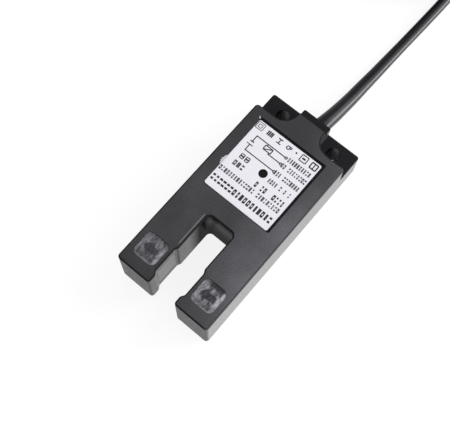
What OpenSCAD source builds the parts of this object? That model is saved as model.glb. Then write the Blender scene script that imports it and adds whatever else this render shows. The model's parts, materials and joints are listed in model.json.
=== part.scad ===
// U-slot photoelectric switch. A moulded two-prong housing holds an infrared emitter in its right
// prong and a receiver in its left one, and a thing that passes through the slot cuts the beam.
// X runs across the prongs, Y from the prong tips to the cable, and Z up from the underside.
// Every place below is measured from the prong tips, and at_tips() moves it into the part's frame.

/* [Housing] */
// Width across both prongs
body_w = 34; // [32:0.5:38]
// Length of the raised body, from the prong tips to its back edge
body_l = 64; // [62:0.5:72]
// Height of the raised body
body_h = 17.4; // [16.8:0.2:19]
// Thickness of the outer walls
wall_t = 2; // [1.8:0.1:2.2]
// Thickness of the roof
roof_t = 2; // [1.8:0.1:2.4]
// Thickness of the walls beside the slot
cheek_t = 2; // [1.8:0.1:2.3]
// Radius of the upright outer corners
corner_r = 1.2; // [0.8:0.1:2]
// Radius along the top edges
edge_r = 0.5; // [0.3:0.1:0.6]
// Radius of the upright corners inside the walls
inner_r = 0.6; // [0.4:0.1:0.8]

/* [Slot] */
// Width of the slot behind the windows
slot_w = 9.8; // [9.2:0.1:10.6]
// Depth of the slot from the prong tips
slot_l = 27; // [25:0.5:28]
// Radius of the slot's inner corners
slot_r = 1.5; // [1:0.1:2]
// Width of the slot between the guard lips at its mouth
mouth_w = 9.4; // [9:0.1:9.8]
// Length of a guard lip
lip_l = 2.9; // [2.4:0.1:3.4]
// Radius of a prong's inner tip corner
tip_r = 1; // [0.7:0.1:1.4]
// Depth of the window recess below the slot's wall
recess_d = 0.6; // [0.4:0.1:0.8]
// Length of the flat floor of the window recess
recess_l = 8.2; // [8:0.1:9]
// Length of a sloped end of the window recess
slope_l = 1.2; // [1:0.1:1.5]
// Radius where the slopes bend
slope_r = 1; // [0.8:0.1:1.2]

/* [Flange and cable block] */
// Length of the mounting flange behind the raised body
flange_l = 9.2; // [8.8:0.1:11]
// Thickness of the mounting flange
flange_h = 9.6; // [9:0.1:11]
// Radius of the flange's back corners
flange_r = 0.8; // [0.6:0.1:2]
// Radius along the edges of the flange and the cable block
flange_edge_r = 0.3; // [0.2:0.05:0.5]
// Distance between the two mounting holes
hole_spacing = 20; // [19.6:0.1:22]
// Diameter of a mounting hole
hole_d = 4.5; // [4.3:0.1:4.9]
// Radius of the hollow that the body leaves around a screw head
scallop_r = 4.8; // [4.5:0.1:5]
// How far the neck reaches behind the body's back edge
neck_l = 6; // [5.6:0.1:6.6]
// Radius of the neck's back corners
neck_r = 0.6; // [0.5:0.1:0.8]
// Height of the cable block behind the neck
block_h = 14.3; // [12:0.1:15]
// Thickness of the wall that the cable passes through
back_wall_t = 5; // [4:0.1:5.4]
// Width of the core-out slot beside each mounting hole
core_w = 1.8; // [1.2:0.1:2]
// Thickness of the flange above and around the core-out slot
core_wall_t = 1.8; // [1.6:0.1:2.2]

/* [Bottom cover] */
// Thickness of the cover
cover_t = 1.6; // [1.4:0.1:1.8]
// Thickness of the seal between cover and ledge
seal_t = 0.5; // [0.4:0.1:0.6]
// Width of the housing's rim around the cover
rim_w = 1; // [0.8:0.1:1.1]
// Gap around the cover and the seal
cover_gap = 0.1; // [0.05:0.05:0.15]
// Radius of a screw boss in the housing
boss_r = 2.1; // [1.9:0.1:2.3]
// How far a corner boss is buried in the wall
boss_bury = 0.5; // [0.4:0.1:0.7]
// Place of the front cover screws behind the prong tips
front_screw_y = 18; // [17.5:0.1:19]
// Radius of a screw's shank and of its pilot hole
shank_r = 0.85; // [0.75:0.05:0.95]
// Radius of a cover screw's head
cover_head_r = 2; // [1.8:0.1:2.1]
// Height of a cover screw's head
cover_head_h = 1.1; // [1:0.1:1.2]
// Length of a screw under its head
screw_l = 5; // [4:0.5:6]
// Depth of a pilot hole past the screw's end
pilot_spare = 1; // [0.5:0.1:1.5]

/* [Windows and marks] */
// Width of a slot window along the prong
window_w = 7.6; // [7:0.1:7.8]
// Height of a slot window
window_h = 11; // [9:0.5:12]
// Thickness of a slot window
window_t = 1; // [0.8:0.1:1.2]
// Radius of the light opening behind a slot window
aperture_r = 2.1; // [1.8:0.1:2.4]
// Size of an arrow mark across the prong
mark_w = 8.1; // [7:0.1:8.4]
// Size of an arrow mark along the prong
mark_l = 8.3; // [7:0.1:8.6]
// Radius of an arrow mark's corners
mark_r = 1.8; // [1:0.1:2.2]
// Distance of a mark's centre from the middle of the switch
mark_x = 10.9; // [10.7:0.1:11.4]
// Thickness of an arrow mark's plate
mark_t = 0.9; // [0.7:0.1:1]
// How far the plate lies below the roof
mark_sink = 0.25; // [0.2:0.05:0.35]
// Height of the arrow on the plate
arrow_t = 0.2; // [0.1:0.05:0.2]
// Length of the arrow
arrow_l = 4.8; // [4:0.1:5.4]
// Width of the arrow's head
arrow_w = 4.4; // [3:0.1:5]
// Width of the arrow's shaft
shaft_w = 1.8; // [1.2:0.1:2.2]
// Length of the arrow's head
arrowhead_l = 1.9; // [1.4:0.1:2.4]

/* [Label and indicator] */
// Width of the label
label_w = 24.2; // [20:0.1:25]
// Length of the label
label_l = 26.5; // [24:0.1:27]
// Thickness of the label
label_t = 0.15; // [0.1:0.05:0.2]
// Depth of the label's pocket
pocket_d = 0.35; // [0.25:0.05:0.4]
// Play of the label in its pocket, along and across
label_play = 0.8; // [0.4:0.1:1]
// Distance from the pocket to the body's back edge
pocket_back = 2.8; // [2.4:0.1:3.4]
// Sideways place of the pocket
pocket_x = -0.4; // [-0.8:0.1:0.8]
// Radius of the indicator lens and its hole in the roof
lens_r = 1.45; // [1.3:0.05:1.6]
// Radius of the lens flange under the roof
lens_flange_r = 2.1; // [1.9:0.1:2.4]
// Thickness of the lens flange
lens_flange_t = 0.8; // [0.6:0.1:1]
// Sideways place of the indicator
indicator_x = -0.9; // [-1.2:0.1:1]
// Distance from the indicator lamp's tip to the lens
lamp_gap = 0.3; // [0.2:0.1:0.6]

/* [Circuit board] */
// Thickness of the circuit board
board_t = 1.6; // [1.2:0.1:1.6]
// Height of the board's top face
board_top = 6; // [5.6:0.1:6.2]
// Gap between the board and the walls
board_gap = 0.4; // [0.3:0.1:0.5]
// Radius of a post that the board is screwed to
post_r = 2; // [1.8:0.1:2.2]
// Half the distance between the front posts
front_post_x = 10.6; // [10:0.1:11]
// Distance from the slot's end wall to the front posts
front_post_y = 3.5; // [3.2:0.1:4]
// Half the distance between the rear posts
rear_post_x = 9.5; // [9:0.1:10]
// Distance from the back wall to the rear posts
rear_post_y = 9.5; // [9:0.1:10]
// Radius of a board screw's head
board_head_r = 1.8; // [1.5:0.1:1.9]
// Height of a board screw's head
board_head_h = 1.2; // [1:0.1:1.4]

/* [Emitter and receiver] */
// Radius of a lamp's body
lamp_r = 1.5; // [1.4:0.05:1.5]
// Length of a lamp from its base to its tip
lamp_l = 5.3; // [4.8:0.1:5.4]
// Radius of a lamp's base flange
lamp_flange_r = 1.9; // [1.8:0.05:2]
// Thickness of a lamp's base flange
lamp_flange_t = 1; // [0.8:0.1:1.2]
// Thickness of a lamp's legs
leg_t = 0.45; // [0.4:0.05:0.5]
// Distance between a lamp's legs
leg_pitch = 2.54; // [2.4:0.02:2.7]
// Width of the holder around the emitter or receiver
holder_w = 6; // [5.4:0.1:6.4]
// Gap between the holder and the slot's wall
holder_gap = 0.3; // [0.2:0.1:0.5]

/* [Cable] */
// Diameter of the cable
cable_d = 3.8; // [3.6:0.1:4]
// Diameter of the thickened sheath where it leaves the housing
relief_d = 4.7; // [4.2:0.1:4.9]
// Length over which the sheath tapers to the cable's diameter
relief_l = 40; // [30:1:50]
// Height of the cable's middle where it leaves the housing
exit_z = 5.4; // [5.3:0.1:5.8]
// Radius of the bushing in the back wall
bushing_r = 2.9; // [2.6:0.1:3]
// Thickness of the collar that keeps the bushing from pulling out
collar_t = 1.5; // [1:0.1:2]
// Diameter of a core's insulation
core_d = 1.2; // [1:0.05:1.3]
// Diameter of a tinned core end
tinned_d = 0.8; // [0.6:0.05:0.9]
// Length of a tinned core end
tinned_l = 6; // [4:0.5:8]
// Radius at the middle of the coil's turns
coil_r = 22.5; // [22.4:0.1:22.6]
// Thickness of the ties around the coil
tie_t = 0.6; // [0.5:0.1:0.8]
// Width of a tie
tie_w = 2.6; // [2:0.1:3.4]

/* [Hidden] */
$fn = 32;

// The least overlap that joins two solids, and the play left between glued or seated pieces
bite = 0.2;
fit = 0.05;
// A cut runs this far past the face that it opens
past = 1;
// The housing's rounded outlines turn by this many degrees a step, its top edges in so many steps
arc_step = 15;
edge_steps = 3;

// Outside
total_l = body_l + flange_l;
slot_x = slot_w / 2;
mouth_x = mouth_w / 2;
recess_x = slot_x + recess_d;
recess_y = lip_l + slope_l;
neck_x = hole_spacing / 2 - scallop_r;
neck_y = body_l + neck_l;
hole_y = body_l + scallop_r;

// Inside of the walls
side_x = body_w / 2 - wall_t;
cheek_x = recess_x + cheek_t;
root_y = slot_l + cheek_t;
rear_y = body_l - wall_t;
neck_side_x = neck_x - wall_t;
neck_end_y = total_l - back_wall_t;
ceiling_z = body_h - roof_t;
ledge_z = cover_t + seal_t;

// Optical axis, at the middle of the window recess
optic_y = recess_y + recess_l / 2;
optic_z = body_h / 2;

// Cover screws: two in the prongs and two in the rear corners
boss_x = side_x - boss_r + boss_bury;
rear_screw_y = rear_y - boss_r + boss_bury;
cover_screw_places = [
    [boss_x, front_screw_y], [-boss_x, front_screw_y], [boss_x, rear_screw_y], [-boss_x, rear_screw_y]
];
pad_r = boss_r - boss_bury;

// Board and its four posts
board_z = board_top - board_t;
front_posts_y = root_y + front_post_y;
rear_posts_y = rear_y - rear_post_y;
post_places = [
    [front_post_x, front_posts_y], [-front_post_x, front_posts_y],
    [rear_post_x, rear_posts_y], [-rear_post_x, rear_posts_y]
];

// Label pocket, with the indicator near its middle
pocket_w = label_w + label_play;
pocket_l = label_l + 1.5 * label_play;
pocket_y = body_l - pocket_back - pocket_l / 2;
label_x = pocket_x - label_play / 2 + fit;
label_y = pocket_y - (pocket_l - label_l) / 2 + fit;
indicator_y = label_y + 0.1;

// Legs of the lamps reach this far below the board
leg_end_z = board_z - 1;
lamp_tip_x = cheek_x + holder_gap;
lamp_base_x = lamp_tip_x + lamp_l;
leg_x = lamp_base_x + 0.3;
indicator_tip_z = ceiling_z - lens_flange_t - lamp_gap;

// Cores at the cut end of the sheath inside the housing
sheath_end_y = rear_y + 2;
core_spread = 0.85;
core_low = 0.4;
core_high = 1;
pad_pitch = 3.4;

// Route of the cable's middle, in the part's own frame: out of the housing, down to the surface
// and on to the coil. The points are chosen by eye.
cable_route = [
    [0, 27.4, 5.4], [0, 36.6, 5.4], [0, 37.4, 5.4], [0.2, 40.5, 5.2], [0.5, 44, 4.6],
    [0.8, 49, 3.7], [1.1, 54, 2.9], [1.3, 60, 2.35], [1.7, 67, 2.1], [2.1, 75, 2],
    [2.5, 84, 1.95], [2.9, 94, 1.95], [3.2, 104, 1.95], [3.3, 112, 2.1], [3.25, 119, 2.4],
    [3.25, 124.4, 2.55], [3.25, 125, 2.55]
];
exit_point = 1;

// The coil: three full layers four turns wide, and on top a layer three turns wide, a pitch apart
turn_pitch = cable_d + 0.1;
columns = 4;
full_layers = 3;
top_columns = 3;
coil_in_r = coil_r - columns / 2 * turn_pitch;
coil_out_r = coil_r + columns / 2 * turn_pitch;
coil_step_r = coil_in_r + top_columns * turn_pitch;
coil_low_z = tie_t;
coil_mid_z = coil_low_z + full_layers * turn_pitch;
coil_high_z = coil_mid_z + turn_pitch;
entry_r = coil_out_r - turn_pitch / 2;
coil_centre = [3.25 - entry_r, 125];

// The cable's bare end lies on the coil's full layers, as arcs about the coil's middle
tail_r = coil_step_r + turn_pitch / 2;
tail_z = coil_mid_z + cable_d / 2;
tail_from = 122;
tail_to = 180;
core_to = 250;
// Each tie's angle, and how far out the coil is full below it: one holds the bare end down
ties = [[150, coil_out_r], [300, coil_step_r]];
bare_spread = 1.02;

// Moves what was placed from the prong tips into the part's frame
module at_tips() translate([0, -total_l / 2, 0]) children();

module both_sides() {
    children();
    mirror([1, 0, 0]) children();
}

// An outline is a list of corners [x, y, radius], anticlockwise. The right half gives the whole.
function mirrored(half) = concat(
    half, [for (i = [len(half) - 1 : -1 : 0]) [-half[i][0], half[i][1], half[i][2]]]
);
function xy(corner) = [corner[0], corner[1]];
function unit(v) = v / norm(v);

// Everything about one corner: the point, where its arc starts and ends, the arc's centre and
// radius, half the angle between its sides, and 1 for an outer corner or -1 for an inner one
function corner_of(outline, i) =
    let (
        n = len(outline), p = xy(outline[i]), r = outline[i][2],
        before = xy(outline[(i + n - 1) % n]), after = xy(outline[(i + 1) % n]),
        u = unit(before - p), v = unit(after - p), half = acos(u * v) / 2
    )
    [
        p, p + u * r / tan(half), p + v * r / tan(half), p + unit(u + v) * r / sin(half),
        r, half, sign(cross(p - before, after - p))
    ];

// The same outline moved inwards by d, with its arcs still about the same centres
function inset(outline, d) = [
    for (i = [0 : len(outline) - 1])
        let (c = corner_of(outline, i), m = unit(c[1] + c[2] - 2 * c[0]), r = c[4])
        let (away = r > 0 ? m : unit(unit_sum(outline, i)))
        let (p = c[0] + away * c[6] * d / sin(c[5]))
        [p[0], p[1], r > 0 ? r - c[6] * d : 0]
];
function unit_sum(outline, i) =
    let (n = len(outline), p = xy(outline[i]))
    unit(xy(outline[(i + n - 1) % n]) - p) + unit(xy(outline[(i + 1) % n]) - p);

// What an arc takes off an outer corner, or adds in an inner one
module corner_web(c) difference() {
    polygon([c[0], c[1], c[3], c[2]]);
    translate(c[3]) circle(c[4]);
}

module webs(outline, side)
    for (i = [0 : len(outline) - 1]) {
        c = corner_of(outline, i);
        if (c[4] > 0 && c[6] == side) corner_web(c);
    }

module rounded_shape(outline) difference() {
    union() {
        polygon([for (corner = outline) xy(corner)]);
        webs(outline, -1);
    }
    webs(outline, 1);
}

// The points of an outline moved inwards by d, at height z. Each arc keeps its middle and its steps.
function loop(outline, d, z) = [
    for (i = [0 : len(outline) - 1])
        let (
            c = corner_of(outline, i), turn = 180 - 2 * c[5], steps = ceil(turn / arc_step),
            start = c[1] - c[3], from = atan2(start[1], start[0]), r = c[4] - c[6] * d
        )
        for (k = [0 : steps])
            let (angle = from + c[6] * turn * k / steps)
            [c[3][0] + r * cos(angle), c[3][1] + r * sin(angle), z]
];

// A flat face with inner corners is cut into triangles, one ear after another. An ear is a corner
// whose triangle lies inside the face and touches none of the other points that are left.
function bend(a, b, c) = cross(b - a, c - a);
function touches(t, p) =
    bend(t[0], t[1], p) >= 0 && bend(t[1], t[2], p) >= 0 && bend(t[2], t[0], p) >= 0;
function ear_at(left, k) = [for (j = [k - 1 : k + 1]) left[(j + len(left)) % len(left)]];
function is_ear(points, left, ear) =
    let (t = [for (k = ear) points[k]])
    bend(t[0], t[1], t[2]) > 0
        && len([for (k = left) if (len(search(k, ear)) == 0 && touches(t, points[k])) k]) == 0;
function first_ear(points, left, k = 0) =
    is_ear(points, left, ear_at(left, k)) ? k : first_ear(points, left, k + 1);
function triangles(points, left) =
    let (n = len(left), k = n > 3 ? first_ear(points, left) : 1)
    n > 3
        ? concat([ear_at(left, k)], triangles(points, [for (j = [0 : n - 1]) if (j != k) left[j]]))
        : [left];
function tiles(ring) = triangles([for (p = ring) xy(p)], [for (k = [0 : len(ring) - 1]) k]);

// A prism on an outline, with its top edge rounded: loops of points, one above the other
module rounded_prism(outline, h, r) {
    levels = concat([[0, 0]], [for (k = [0 : edge_steps]) [
        r * (1 - cos(90 * k / edge_steps)), h - r + r * sin(90 * k / edge_steps)
    ]]);
    rings = [for (level = levels) loop(outline, level[0], level[1])];
    n = len(rings[0]);
    last = len(rings) - 1;
    walls = [
        for (i = [0 : last - 1], k = [0 : n - 1])
            [i * n + k, (i + 1) * n + k, (i + 1) * n + (k + 1) % n, i * n + (k + 1) % n]
    ];
    bottom = tiles(rings[0]);
    top = [for (t = tiles(rings[last])) [for (k = [2 : -1 : 0]) last * n + t[k]]];
    points = [for (ring = rings) each ring];
    polyhedron(points = points, faces = concat(bottom, walls, top), convexity = 8);
}

// A square-cornered or round-cornered rectangle about a middle point
module plate(w, l, t, r) linear_extrude(t) rounded_shape([
    [w / 2, -l / 2, r], [w / 2, l / 2, r], [-w / 2, l / 2, r], [-w / 2, -l / 2, r]
]);

body_outline = mirrored([
    [slot_x, slot_l, slot_r],
    [slot_x, recess_y + recess_l + slope_l, slope_r],
    [recess_x, recess_y + recess_l, slope_r],
    [recess_x, recess_y, slope_r],
    [mouth_x, lip_l, slope_r],
    [mouth_x, 0, tip_r],
    [body_w / 2, 0, corner_r],
    [body_w / 2, body_l, corner_r],
    [neck_x, body_l, scallop_r],
    [neck_x, neck_y, neck_r]
]);
flange_outline = mirrored([
    [body_w / 2, rear_y, flange_r], [body_w / 2, total_l, flange_r]
]);
block_outline = mirrored([
    [neck_x, neck_y - 2, neck_r], [neck_x, total_l, neck_r]
]);
cavity_outline = mirrored([
    [cheek_x, root_y, inner_r],
    [cheek_x, wall_t, inner_r],
    [side_x, wall_t, inner_r],
    [side_x, rear_y, inner_r],
    [neck_side_x, rear_y, inner_r],
    [neck_side_x, neck_end_y, inner_r]
]);
cover_outline = mirrored([
    [recess_x + rim_w, slot_l + rim_w, inner_r],
    [recess_x + rim_w, rim_w, inner_r],
    [body_w / 2 - rim_w, rim_w, inner_r],
    [body_w / 2 - rim_w, body_l - rim_w, inner_r],
    [neck_x - rim_w, body_l - rim_w, inner_r],
    [neck_x - rim_w, neck_end_y + rim_w, inner_r]
]);
board_outline = mirrored([
    [cheek_x + board_gap, root_y + board_gap, inner_r],
    [cheek_x + board_gap, wall_t + board_gap, inner_r],
    [side_x - board_gap, wall_t + board_gap, inner_r],
    [side_x - board_gap, rear_y - 3 * board_gap, inner_r]
]);

// Housing

module mounting_holes() both_sides()
    translate([hole_spacing / 2, hole_y, -past]) cylinder(h = flange_h + 2 * past, d = hole_d);

// The slots that thin the flange beside its holes, open below
module core_outs() both_sides() {
    from_x = body_w / 2 - core_wall_t - core_w;
    translate([from_x, body_l + core_wall_t, -past])
        cube([core_w, flange_l - 2 * core_wall_t, flange_h - core_wall_t + past]);
}

module window_openings() both_sides() translate([recess_x, optic_y, optic_z]) {
    translate([-past, -window_w / 2 - fit, -window_h / 2 - fit])
        cube([window_t + past, window_w + 2 * fit, window_h + 2 * fit]);
    rotate([0, 90, 0]) cylinder(h = cheek_t + past, r = aperture_r);
}

module mark_pockets() both_sides()
    translate([mark_x, optic_y, body_h - mark_sink - mark_t])
        plate(mark_w, mark_l, mark_t + mark_sink + past, mark_r);

module label_pocket() translate([pocket_x, pocket_y, body_h - pocket_d])
    plate(pocket_w, pocket_l, pocket_d + past, inner_r);

module screw_posts(places, r, low_z) for (place = places)
    translate([place[0], place[1], low_z]) cylinder(h = ceiling_z + bite - low_z, r = r);

module pilot_holes(places, low_z) for (place = places)
    translate([place[0], place[1], low_z - past]) cylinder(h = screw_l + pilot_spare + past, r = shank_r);

// Two ribs under each roof that press the holder onto the board
module holder_ribs() both_sides() for (side = [-1, 1])
    translate([lamp_tip_x + bite, optic_y + side * holder_w / 4 - bite * 2, optic_z + holder_w / 2])
        cube([lamp_l - lamp_flange_t - 2 * bite, bite * 4, ceiling_z + bite - optic_z - holder_w / 2]);

module cable_bore() translate([0, neck_end_y - past, exit_z]) rotate([-90, 0, 0])
    cylinder(h = back_wall_t + 2 * past, r = bushing_r);

module housing() color("#4b4b50") at_tips() difference() {
    union() {
        difference() {
            union() {
                rounded_prism(body_outline, body_h, edge_r);
                rounded_prism(flange_outline, flange_h, flange_edge_r);
                rounded_prism(block_outline, block_h, flange_edge_r);
            }
            translate([0, 0, -past]) linear_extrude(ceiling_z + past) rounded_shape(cavity_outline);
            translate([0, 0, -past]) linear_extrude(ledge_z + past) rounded_shape(cover_outline);
        }
        screw_posts(cover_screw_places, boss_r, ledge_z);
        screw_posts(post_places, post_r, board_top);
        holder_ribs();
    }
    pilot_holes(cover_screw_places, ledge_z);
    pilot_holes(post_places, board_top);
    mounting_holes();
    core_outs();
    window_openings();
    mark_pockets();
    label_pocket();
    translate([indicator_x, indicator_y, ceiling_z - past])
        cylinder(h = roof_t + 2 * past, r = lens_r + fit);
    cable_bore();
}

// Bottom cover, its seal and its screws

module bottom_cover() color("#3a3a3e") at_tips() difference() {
    union() {
        linear_extrude(cover_t) rounded_shape(inset(cover_outline, cover_gap));
        for (place = cover_screw_places)
            translate([place[0], place[1], cover_t - bite]) cylinder(h = seal_t + bite, r = pad_r);
    }
    for (place = cover_screw_places) translate([place[0], place[1], 0]) {
        translate([0, 0, -past]) cylinder(h = ledge_z + 2 * past, r = shank_r + 2 * fit);
        translate([0, 0, -fit])
            cylinder(h = cover_head_h + 2 * fit, r1 = cover_head_r + 3 * fit, r2 = shank_r + 2 * fit);
    }
}

module cover_seal() color("#1f1f22") at_tips() translate([0, 0, cover_t]) difference() {
    linear_extrude(seal_t) rounded_shape(inset(cover_outline, cover_gap));
    translate([0, 0, -past]) linear_extrude(seal_t + 2 * past) rounded_shape(inset(cavity_outline, -fit));
}

// A cross recess cut into a screw head from below
module cross_recess(r) translate([0, 0, -past]) for (turn = [0, 90])
    rotate([0, 0, turn]) translate([-r, -r / 5, 0]) cube([2 * r, r / 2.5, past + r / 2]);

module cover_screws() color("silver") at_tips() for (place = cover_screw_places)
    translate([place[0], place[1], fit]) difference() {
        union() {
            cylinder(h = cover_head_h, r1 = cover_head_r, r2 = shank_r);
            cylinder(h = cover_head_h + screw_l, r = shank_r);
        }
        cross_recess(cover_head_r * 0.6);
    }

// Windows, marks, label and indicator

module slot_window() translate([recess_x, optic_y - window_w / 2, optic_z - window_h / 2])
    cube([window_t, window_w, window_h]);

module emitter_window() color("#2a1418") at_tips() slot_window();
module receiver_window() color("#2a1418") at_tips() mirror([1, 0, 0]) slot_window();

// The arrow points from the emitter to the receiver, which is towards -X
module arrow() polygon([
    [-arrow_l / 2, 0], [arrowhead_l - arrow_l / 2, -arrow_w / 2], [arrowhead_l - arrow_l / 2, -shaft_w / 2],
    [arrow_l / 2, -shaft_w / 2], [arrow_l / 2, shaft_w / 2], [arrowhead_l - arrow_l / 2, shaft_w / 2],
    [arrowhead_l - arrow_l / 2, arrow_w / 2]
]);

module mark_plate(x) translate([x, optic_y, body_h - mark_sink - mark_t]) {
    plate(mark_w - 2 * fit, mark_l - 2 * fit, mark_t, mark_r - fit);
    linear_extrude(mark_t + arrow_t) arrow();
}

module emitter_mark() color("#8a8a90") at_tips() mark_plate(mark_x);
module receiver_mark() color("#8a8a90") at_tips() mark_plate(-mark_x);

module label() color("#efeef5") at_tips() translate([0, 0, body_h - pocket_d]) difference() {
    translate([label_x, label_y, 0]) plate(label_w, label_l, label_t, inner_r);
    translate([indicator_x, indicator_y, -past]) cylinder(h = label_t + 2 * past, r = lens_r);
}

module indicator_lens() color("#6c6c72") at_tips() translate([indicator_x, indicator_y, 0]) {
    translate([0, 0, ceiling_z - lens_flange_t]) cylinder(h = lens_flange_t, r = lens_flange_r);
    translate([0, 0, ceiling_z - lens_flange_t])
        cylinder(h = lens_flange_t + roof_t - pocket_d, r = lens_r);
}

// Lamps: a flanged round body with a domed tip, drawn with its tip at the origin and its base down

module lamp_body() rotate_extrude() {
    intersection() {
        translate([0, -lamp_r]) circle(lamp_r);
        translate([0, -lamp_r]) square(lamp_r);
    }
    translate([0, -lamp_l]) square([lamp_r, lamp_l - lamp_r]);
    translate([0, -lamp_l]) square([lamp_flange_r, lamp_flange_t]);
}

module indicator_lamp() color("#c8372e") at_tips() translate([indicator_x, indicator_y, 0]) {
    base_z = indicator_tip_z - lamp_l;
    translate([0, 0, indicator_tip_z]) lamp_body();
    for (side = [-1, 1])
        translate([-leg_t / 2, side * leg_pitch / 2 - leg_t / 2, leg_end_z])
            cube([leg_t, leg_t, base_z + bite - leg_end_z]);
}

// A lamp that lies on its side with its tip towards the slot, and its legs bent down to the board
module side_lamp() translate([0, optic_y, 0]) {
    translate([lamp_tip_x, 0, optic_z]) rotate([0, -90, 0]) lamp_body();
    for (side = [-1, 1]) translate([0, side * leg_pitch / 2 - leg_t / 2, 0]) {
        translate([lamp_base_x - bite, 0, optic_z - leg_t / 2])
            cube([leg_x + leg_t + bite - lamp_base_x, leg_t, leg_t]);
        translate([leg_x, 0, leg_end_z]) cube([leg_t, leg_t, optic_z + leg_t / 2 - leg_end_z]);
    }
}

module infrared_emitter() color("#b9c4d6") at_tips() side_lamp();
module photo_receiver() color("#26262a") at_tips() mirror([1, 0, 0]) side_lamp();

module lamp_holder() translate([lamp_tip_x, optic_y, 0]) difference() {
    translate([0, -holder_w / 2, board_top])
        cube([lamp_l - lamp_flange_t, holder_w, optic_z + holder_w / 2 - board_top]);
    translate([-past, 0, optic_z]) rotate([0, 90, 0]) cylinder(h = lamp_l + past, r = lamp_r + fit);
}

module emitter_holder() color("#202024") at_tips() lamp_holder();
module receiver_holder() color("#202024") at_tips() mirror([1, 0, 0]) lamp_holder();

// Circuit board and what is soldered to it

module leg_holes() for (side = [-1, 1]) {
    both_sides() translate([leg_x + leg_t / 2, optic_y + side * leg_pitch / 2, board_z - past])
        cylinder(h = board_t + 2 * past, r = leg_t);
    translate([indicator_x, indicator_y + side * leg_pitch / 2, board_z - past])
        cylinder(h = board_t + 2 * past, r = leg_t);
}

module circuit_board() color("#2f6b3c") at_tips() difference() {
    translate([0, 0, board_z]) linear_extrude(board_t) rounded_shape(board_outline);
    for (place = cover_screw_places)
        translate([place[0], place[1], board_z - past])
            cylinder(h = board_t + 2 * past, r = boss_r + board_gap);
    for (place = post_places)
        translate([place[0], place[1], board_z - past])
            cylinder(h = board_t + 2 * past, r = shank_r + 3 * fit);
    leg_holes();
}

module board_screws() color("silver") at_tips() for (place = post_places)
    translate([place[0], place[1], board_z - board_head_h]) difference() {
        union() {
            cylinder(h = board_head_h, r = board_head_r);
            cylinder(h = board_head_h + board_t + screw_l, r = shank_r);
        }
        cross_recess(board_head_r * 0.6);
    }

// A chip with legs on two sides: body size, number of legs a side, and their pitch and width
module legged_chip(size, legs, pitch, leg_w) {
    foot = 1;
    leg_h = 0.25;
    translate([-size[0] / 2, -size[1] / 2, 0.1]) cube([size[0], size[1], size[2] - 0.1]);
    for (i = [0 : legs - 1], side = [-1, 1])
        translate([(i - (legs - 1) / 2) * pitch - leg_w / 2, side * (size[1] / 2 + foot / 2) - foot / 2, 0]) {
            cube([leg_w, foot, leg_h]);
            translate([0, side > 0 ? -bite : foot - leg_h, 0])
                cube([leg_w, leg_h + bite, size[2] / 2]);
        }
}

module on_board(x, y, turn = 0) at_tips() translate([x, y, board_top]) rotate([0, 0, turn]) children();

// The small resistors stand in a row at the slot's end, the control chip midway between them and
// the indicator's legs, and the side parts midway between the posts
resistor_l = 2;
resistors_y = root_y + 3 * board_gap + resistor_l / 2;
chip_y = (resistors_y + resistor_l / 2 + indicator_y - leg_pitch / 2 - leg_t) / 2;
side_parts_x = front_post_x - post_r;
side_parts_y = (front_posts_y + rear_posts_y) / 2;

module control_chip() color("#1c1c20") on_board(0, chip_y) legged_chip([8.7, 3.9, 1.5], 7, 1.27, 0.4);
module amplifier_chip() color("#1c1c20")
    on_board(-(cheek_x + side_x) / 2, root_y - 3.6, 90) legged_chip([4.9, 3.4, 1.5], 4, 1.27, 0.4);
module driver_transistor() color("#1c1c20")
    on_board((cheek_x + side_x) / 2, root_y - 3.6) legged_chip([2.9, 1.5, 1.1], 2, 1.9, 0.4);
module voltage_regulator() color("#1c1c20")
    on_board(side_parts_x, side_parts_y, 90) legged_chip([4.5, 2.5, 1.5], 3, 1.5, 0.45);
module output_transistor() color("#1c1c20")
    on_board(-7.4, rear_y - 4.6) legged_chip([6.5, 2.6, 1.7], 3, 2.3, 0.7);

module smoothing_capacitor() color("#3b3f6b") on_board(8.3, rear_y - 4.4) {
    cylinder(h = 0.8, r = 2.4);
    cylinder(h = 6.2, r = 2.2);
}

module ceramic_capacitors() color("#b08a5c") for (i = [0 : 3])
    on_board(-side_parts_x, side_parts_y + (i - 1.5) * 2.4)
        translate([-1, -0.6, 0]) cube([2, 1.2, 1]);

module resistors() color("#2a2a2e") for (i = [0 : 5])
    on_board((i - 2.5) * 2.2, resistors_y)
        translate([-0.6, -resistor_l / 2, 0]) cube([1.2, resistor_l, 0.5]);

module protection_diodes() color("#242428") for (side = [-1, 1])
    on_board(side * 2.8, rear_y - 9) {
        translate([-1.3, -1.8, 0.1]) cube([2.6, 3.6, 2]);
        translate([-0.7, -2.3, 0]) cube([1.4, 4.6, 0.3]);
    }

// Tubes that follow a route

function side_of(route, i) =
    let (n = len(route), d = unit(route[min(i + 1, n - 1)] - route[max(i - 1, 0)]))
    [unit(cross(d, [0, 0, 1])), unit(cross(cross(d, [0, 0, 1]), d))];
function ring(route, i, r, sides) =
    let (axes = side_of(route, i))
    [for (k = [0 : sides - 1])
        route[i] + r * (cos(360 * k / sides) * axes[0] + sin(360 * k / sides) * axes[1])];

// One closed tube: rings of points [route index, radius], joined by four-sided faces
module tube(route, rings, sides) {
    n = len(rings);
    points = [for (q = rings) each ring(route, q[0], q[1], sides)];
    walls = [
        for (i = [0 : n - 2], k = [0 : sides - 1])
            [
                i * sides + k, i * sides + (k + 1) % sides,
                (i + 1) * sides + (k + 1) % sides, (i + 1) * sides + k
            ]
    ];
    near_end = [[for (k = [sides - 1 : -1 : 0]) k]];
    far_end = [[for (k = [0 : sides - 1]) (n - 1) * sides + k]];
    polyhedron(points = points, faces = concat(near_end, walls, far_end), convexity = 6);
}

module plain_tube(route, r, sides) tube(route, [for (i = [0 : len(route) - 1]) [i, r]], sides);

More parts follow.
